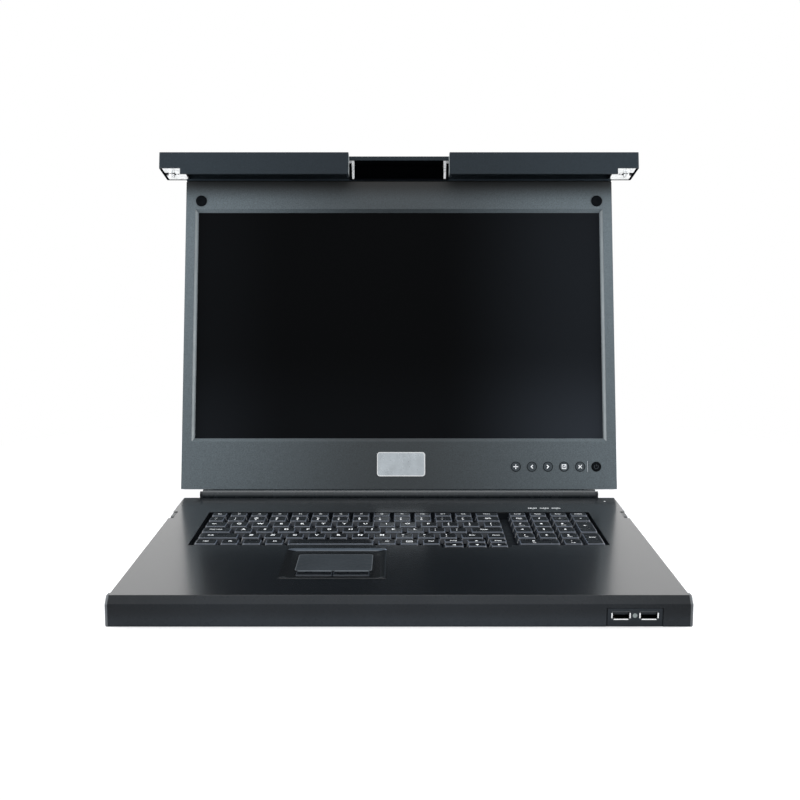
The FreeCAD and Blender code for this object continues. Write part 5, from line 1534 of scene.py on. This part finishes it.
@dataclass
class Touchpad:
    """The touchpad in its dish, with its two buttons."""

    shop: Workshop
    floor_gap: float = 0.2 * MM
    reach: float = 4.9 * MM
    corner: float = 3.2 * MM
    edge: float = 0.5 * MM
    face_levels: Point = (0.02 * MM, 0.25 * MM)
    edge_levels: Point = (0.1 * MM, 0.34 * MM)
    highlight_inset: Point = (0.8 * MM, 1.3 * MM)
    highlight_half: float = 1.1 * MM
    highlight_levels: Point = (-0.1 * MM, 0.04 * MM)
    flange: float = 3.0 * MM
    slope: float = 5.0 * MM
    slope_start: float = 0.3 * MM
    slope_steps: int = 6
    slope_shares: Point = (0.35, 0.65)
    slope_lift: float = 0.02 * MM
    root_drop: float = 0.3 * MM
    root_inset: float = 0.1 * MM
    root_corner: float = 5.0 * MM
    dish_corner: float = 6.0 * MM
    rear_band: Point = (-1.0 * MM, 0.5 * MM)
    right_band: Point = (-2.4 * MM, -1.4 * MM)
    rear_tone: float = 17.0
    right_tone: float = 4.0

    def build(self) -> None:
        """Dresses the dish, the pad and its buttons, and adds their trim, with painted highlights
        on the pad's edge, the buttons' rears and the dish's slope.
        """
        self.shop.dress("touchpad_frame", Finishes.dish, 0.1 * MM)
        self.shop.dress("touchpad_surface", Finishes.touch, 0.2 * MM)
        low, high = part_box("touchpad_surface")
        floor = high.z + self.floor_gap
        self.build_skirt(floor)
        front = low.y - self.reach
        middle = ((low.x + high.x) / 2, (front + high.y) / 2)
        half = ((high.x - low.x) / 2, (high.y - front) / 2)
        outer, inner = (rounded_rectangle(middle, (half[0] - inset, half[1] - inset),
                                          self.corner - inset, 5) for inset in (0.0, self.edge))
        face, edge = Heap(), Heap()
        face.plate(outer, *(floor + level for level in self.face_levels), place_level)
        self.shop.add("touchpad_face", face, Finishes.touch, "drawer", "touch_surface")
        # The edge is a painted highlight round the pad.
        edge.frame(outer, inner, *(floor + level for level in self.edge_levels), place_level)
        self.shop.add("touchpad_edge", edge, Finishes.pad_edge, "drawer", "touch_surface")
        for side in Side:
            self.build_button("touch_button_" + side.word)

    def build_button(self, node: str) -> None:
        """A painted highlight along the rear of a touch button.

        Args:
            node: The button's CAD node.
        """
        self.shop.dress(node, Finishes.pad_button, 0.35 * MM)
        low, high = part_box(node)
        middle, half = middle_and_half(low, high)
        outline = rounded_rectangle((middle[0], high.y - self.highlight_inset[1]),
                                    (half[0] - self.highlight_inset[0], self.highlight_half),
                                    self.highlight_inset[0])
        rear_highlight = Heap()
        rear_highlight.plate(outline, *(high.z + level for level in self.highlight_levels), place_level)
        self.shop.add(node + "_ridge", rear_highlight, Finishes.pad_edge, self.shop.body(node),
                      "touch_surface")

    def build_skirt(self, floor: float) -> None:
        """The rounded slope from the deck down to the floor of the dish.

        Args:
            floor: The height of the dish's floor.
        """
        low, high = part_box("touchpad_frame")
        middle = ((low.x + high.x) / 2, (low.y + self.flange + high.y) / 2)
        half = ((high.x - low.x) / 2 - self.flange, (high.y - low.y - self.flange) / 2)
        levels = [(self.root_inset, self.root_corner, high.z - self.root_drop)]
        for step in range(self.slope_steps + 1):
            share = step / self.slope_steps
            inset = self.slope_start + self.slope * share
            sag = (high.z - floor) * (self.slope_shares[0] * share
                                      + self.slope_shares[1] * share * share)
            levels.append((inset, self.dish_corner - inset / 2,
                           high.z + self.slope_lift - sag))
        skirt = Heap()
        skirt.loft([[place_level(x, y, level) for x, y in rounded_rectangle(
            middle, (half[0] - inset, half[1] - inset), corner, 5)]
            for inset, corner, level in levels], False, False)
        # The skirt's finish paints a highlight on the dish's rear slope and down its right side.
        rear, right = middle[1] + half[1] - self.slope, middle[0] + half[0]
        painted_sheen = replace(Finishes.dish, name="dish_edge_paint", painted_light_fades=(
            Fade(Axis.Y, *(rear + place for place in self.rear_band), 1.0, self.rear_tone),
            Fade(Axis.X, *(right + place for place in self.right_band), 1.0, self.right_tone)))
        self.shop.add("dish_skirt", skirt, painted_sheen, "drawer", "deck_black", smooth=True)


@dataclass
class UsbModule:
    """The USB module in the lip: two ports in a dark face."""

    shop: Workshop
    rim_depths: Point = (-0.6 * MM, 0.12 * MM)
    rim_corner: float = 0.2 * MM
    side_rim: Point = (0.45 * MM, 1.0 * MM)
    side_inset: float = 0.05 * MM
    lower_rim: Point = (1.3 * MM, 0.38 * MM)
    lower_inset: float = 0.1 * MM
    contact_pitch: float = 2.3 * MM
    contact_half: Point = (0.45 * MM, 0.1 * MM)
    contact_lift: float = 0.02 * MM
    contact_corner: float = 0.05 * MM
    contact_depths: Point = (-9.0 * MM, -3.4 * MM)
    line: float = 0.45 * MM
    line_levels: Point = (-0.1 * MM, 0.03 * MM)
    line_foot: float = 0.4 * MM
    line_inset: float = 0.1 * MM
    margin: float = 3.7 * MM

    def build(self) -> None:
        """Dresses the module, and adds the ports' rims and contacts and a dark line of painted
        shade round them.
        """
        for node in ("usb_module_face", "usb_port_cores"):
            self.shop.dress(node, Finishes.module)
        # The steel shells take the dark lever finish: painted shade on their top edges.
        self.shop.dress("usb_port_shells", Finishes.lever)
        ports = loose_boxes(self.shop.nodes["usb_port_shells"])
        rims, contacts = Heap(), Heap()
        for low, high in ports:
            self.build_rim(rims, low, high)
            middle, _ = middle_and_half(low, high, Axis.Z)
            for number in range(4):
                across = middle[0] + (number - 1.5) * self.contact_pitch
                strip = rounded_rectangle((across, middle[1] + self.contact_lift),
                                          self.contact_half, self.contact_corner, 1)
                contacts.plate(strip, *self.contact_depths, self.upright())
        self.shop.add("port_rims", rims, Finishes.tab, "drawer", "port_steel")
        self.shop.add("port_contacts", contacts, Finishes.gold, "drawer", "port_steel")
        self.build_gap_shade(min(low.x for low, _ in ports) - self.margin,
                        max(high.x for _, high in ports) + self.margin)

    def upright(self) -> Placer:
        """Returns a placer for flat shapes (across, up, out) on the module's face."""
        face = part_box("usb_module_face")[0].y
        return lambda x, z, out: Vector((x, face - out, z))

    def build_rim(self, rims: Heap, low: Vector, high: Vector) -> None:
        """The flares at the sides and the lower edge of a port.

        Args:
            rims: Where the flares go.
            low: The lowest corner of the port's shell.
            high: Its highest corner.
        """
        middle, half = middle_and_half(low, high, Axis.Z)
        places = [((middle[0] + side.value * (half[0] - self.side_inset), middle[1]),
                   (self.side_rim[0], half[1] - self.side_rim[1])) for side in Side]
        places.append(((middle[0], low.z + self.lower_inset),
                       (half[0] - self.lower_rim[0], self.lower_rim[1])))
        for place, size in places:
            rims.plate(rounded_rectangle(place, size, self.rim_corner), *self.rim_depths,
                       self.upright())

    def build_gap_shade(self, left: float, right: float) -> None:
        """The dark line round the module, open below: painted shade in the gap between the module
        and the lip.

        Args:
            left: Where its left side stands.
            right: Where its right side stands.
        """
        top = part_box("usb_module_face")[1].z - self.line_inset
        outer, inner = ([(left + inset, self.line_foot), (left + inset, top - inset),
                         (right - inset, top - inset), (right - inset, self.line_foot)]
                        for inset in (0.0, self.line))
        line = Heap()
        line.ribbon(outer, inner, *self.line_levels, self.upright())
        self.shop.add("module_outline", line, Finishes.shade, "drawer", "black_plastic")


@dataclass(frozen=True)
class Softbox:
    """A rectangular soft lamp: its place, what it faces, its size and its power in watts."""

    name: str
    place: Spot
    aim: Spot
    wide: float
    tall: float
    power: float

    def hang(self) -> None:
        """Adds the lamp to the scene."""
        lamp = bpy.data.lights.new(self.name, "AREA")
        lamp.shape = "RECTANGLE"
        lamp.size, lamp.size_y, lamp.energy = self.wide, self.tall, self.power
        holder = bpy.data.objects.new(self.name, lamp)
        holder.location = self.place
        toward = Vector(self.aim) - Vector(self.place)
        holder.rotation_euler = toward.to_track_quat("-Z", "Y").to_euler()
        bpy.context.scene.collection.objects.link(holder)


@dataclass
class Studio:
    """A pale floor, soft lamps and the camera."""

    ambient: float = 0.5
    sky: Colour = (0.97, 0.985, 1.0)
    paper: Colour = (0.86, 0.86, 0.87)
    paper_lift: float = 0.2
    floor_half: float = 12.0
    floor_fade: Point = (0.36, 0.65)
    camera_place: Spot = (0.0, -1.12041, 0.2934)
    camera_pitch: float = 8.808
    camera_shift: float = 0.00125
    sensor: float = 36.0
    lens: float = 51.75
    clip: Point = (0.05, 100.0)

    def build(self) -> None:
        """Builds the world, the floor, the lamps and the camera."""
        scene = bpy.context.scene
        scene.view_settings.view_transform = "Standard"
        self.build_world(scene)
        self.build_floor(scene)
        for lamp in self.lamps():
            lamp.hang()
        self.add_camera(scene)

    def lamps(self) -> list[Softbox]:
        """Lists the lamp overhead, and the two at each side.

        Returns:
            The lamps.
        """
        made = [Softbox("overhead_softbox", (0.0, -0.3, 1.5), (0.0, -0.15, 0.1), 2.2, 1.1, 16.5)]
        for side in Side:
            made.append(Softbox(side.word + "_softbox", (side.value * 1.5, -0.9, 0.9),
                                (0.0, -0.1, 0.15), 0.9, 0.9, 4.0))
            made.append(Softbox(side.word + "_strip", (side.value * 0.75, -0.15, 0.28),
                                (0.0, 0.0, 0.2), 0.25, 0.5, 3.5))
        return made

    def build_world(self, scene: bpy.types.Scene) -> None:
        """White where it is seen or reflected, and softer as a lamp.

        Args:
            scene: The scene.
        """
        world = bpy.data.worlds.new("studio")
        scene.world = world
        world.use_nodes = True
        sheet = NodeSheet(world.node_tree)
        seen = sheet.add("Background", Color=WHITE, Strength=1.0)
        light = sheet.add("Background", Color=(*self.sky, 1.0), Strength=self.ambient)
        sky = sheet.blend(seen_share(sheet), light, seen)
        sheet.join(sky.outputs[0], sheet.add("OutputWorld").inputs["Surface"])

    def build_floor(self, scene: bpy.types.Scene) -> None:
        """A matt white sheet that keeps the shadow near the drawer.

        Args:
            scene: The scene.
        """
        half = self.floor_half
        mesh = bpy.data.meshes.new("floor")
        mesh.from_pydata([(-half, -half, 0), (half, -half, 0), (half, half, 0), (-half, half, 0)],
                         [], [(0, 1, 2, 3)])
        floor = bpy.data.objects.new("floor", mesh)
        scene.collection.objects.link(floor)
        mesh.materials.append(self.floor_material())
        floor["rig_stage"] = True

    def floor_material(self) -> bpy.types.Material:
        """Matt paper near the drawer, which fades to plain white farther off.

        Returns:
            The material.
        """
        material = bpy.data.materials.new("floor_paper")
        material.use_nodes = True
        sheet = NodeSheet(material.node_tree)
        paper = sheet.add("BsdfDiffuse", Color=(*self.paper, 1.0))
        lift = sheet.add("Emission", Color=WHITE)
        sheet.join(sheet.math("MULTIPLY", seen_share(sheet), self.paper_lift),
                   lift.inputs["Strength"])
        near = sheet.add("AddShader")
        sheet.join(paper.outputs[0], near.inputs[0])
        sheet.join(lift.outputs[0], near.inputs[1])
        far = sheet.add("Emission", Color=WHITE, Strength=1.0)
        place = sheet.add("TexCoord").outputs["Object"]
        reach = sheet.add("VectorMath", operation="LENGTH")
        sheet.join(place, reach.inputs[0])
        fade = sheet.add("MapRange", From_Min=self.floor_fade[0], From_Max=self.floor_fade[1])
        sheet.join(reach.outputs["Value"], fade.inputs["Value"])
        ground = sheet.blend(fade.outputs["Result"], near, far)
        sheet.join(ground.outputs[0], sheet.add("OutputMaterial").inputs["Surface"])
        return material

    def add_camera(self, scene: bpy.types.Scene) -> None:
        """Adds the camera, a little above the open display's middle.

        Args:
            scene: The scene.
        """
        camera = bpy.data.cameras.new("camera")
        camera.lens = self.lens
        camera.sensor_width = self.sensor
        camera.shift_x = self.camera_shift
        camera.clip_start, camera.clip_end = self.clip
        holder = bpy.data.objects.new("camera", camera)
        holder.location = self.camera_place
        holder.rotation_euler = (math.radians(90 - self.camera_pitch), 0.0, 0.0)
        scene.collection.objects.link(holder)
        scene.camera = holder


def seen_share(sheet: NodeSheet) -> Socket:
    """1 for rays from the camera, a mirror or glass, and 0 for light.

    Args:
        sheet: The node tree to add to.

    Returns:
        The share's socket.
    """
    path = sheet.add("LightPath")
    first = sheet.math("MAXIMUM", path.outputs["Is Camera Ray"], path.outputs["Is Glossy Ray"])
    return sheet.math("MAXIMUM", first, path.outputs["Is Transmission Ray"])


def main() -> None:
    """Builds the drawer from its sub-assemblies, and then the studio."""
    logging.basicConfig(level=logging.INFO, format="%(message)s")
    shop = Workshop()
    Tray(shop).build()
    Keyboard(shop).build()
    Display(shop).build()
    FrontPanel(shop).build()
    Studio().build()


if __name__ == "__main__":
    main()
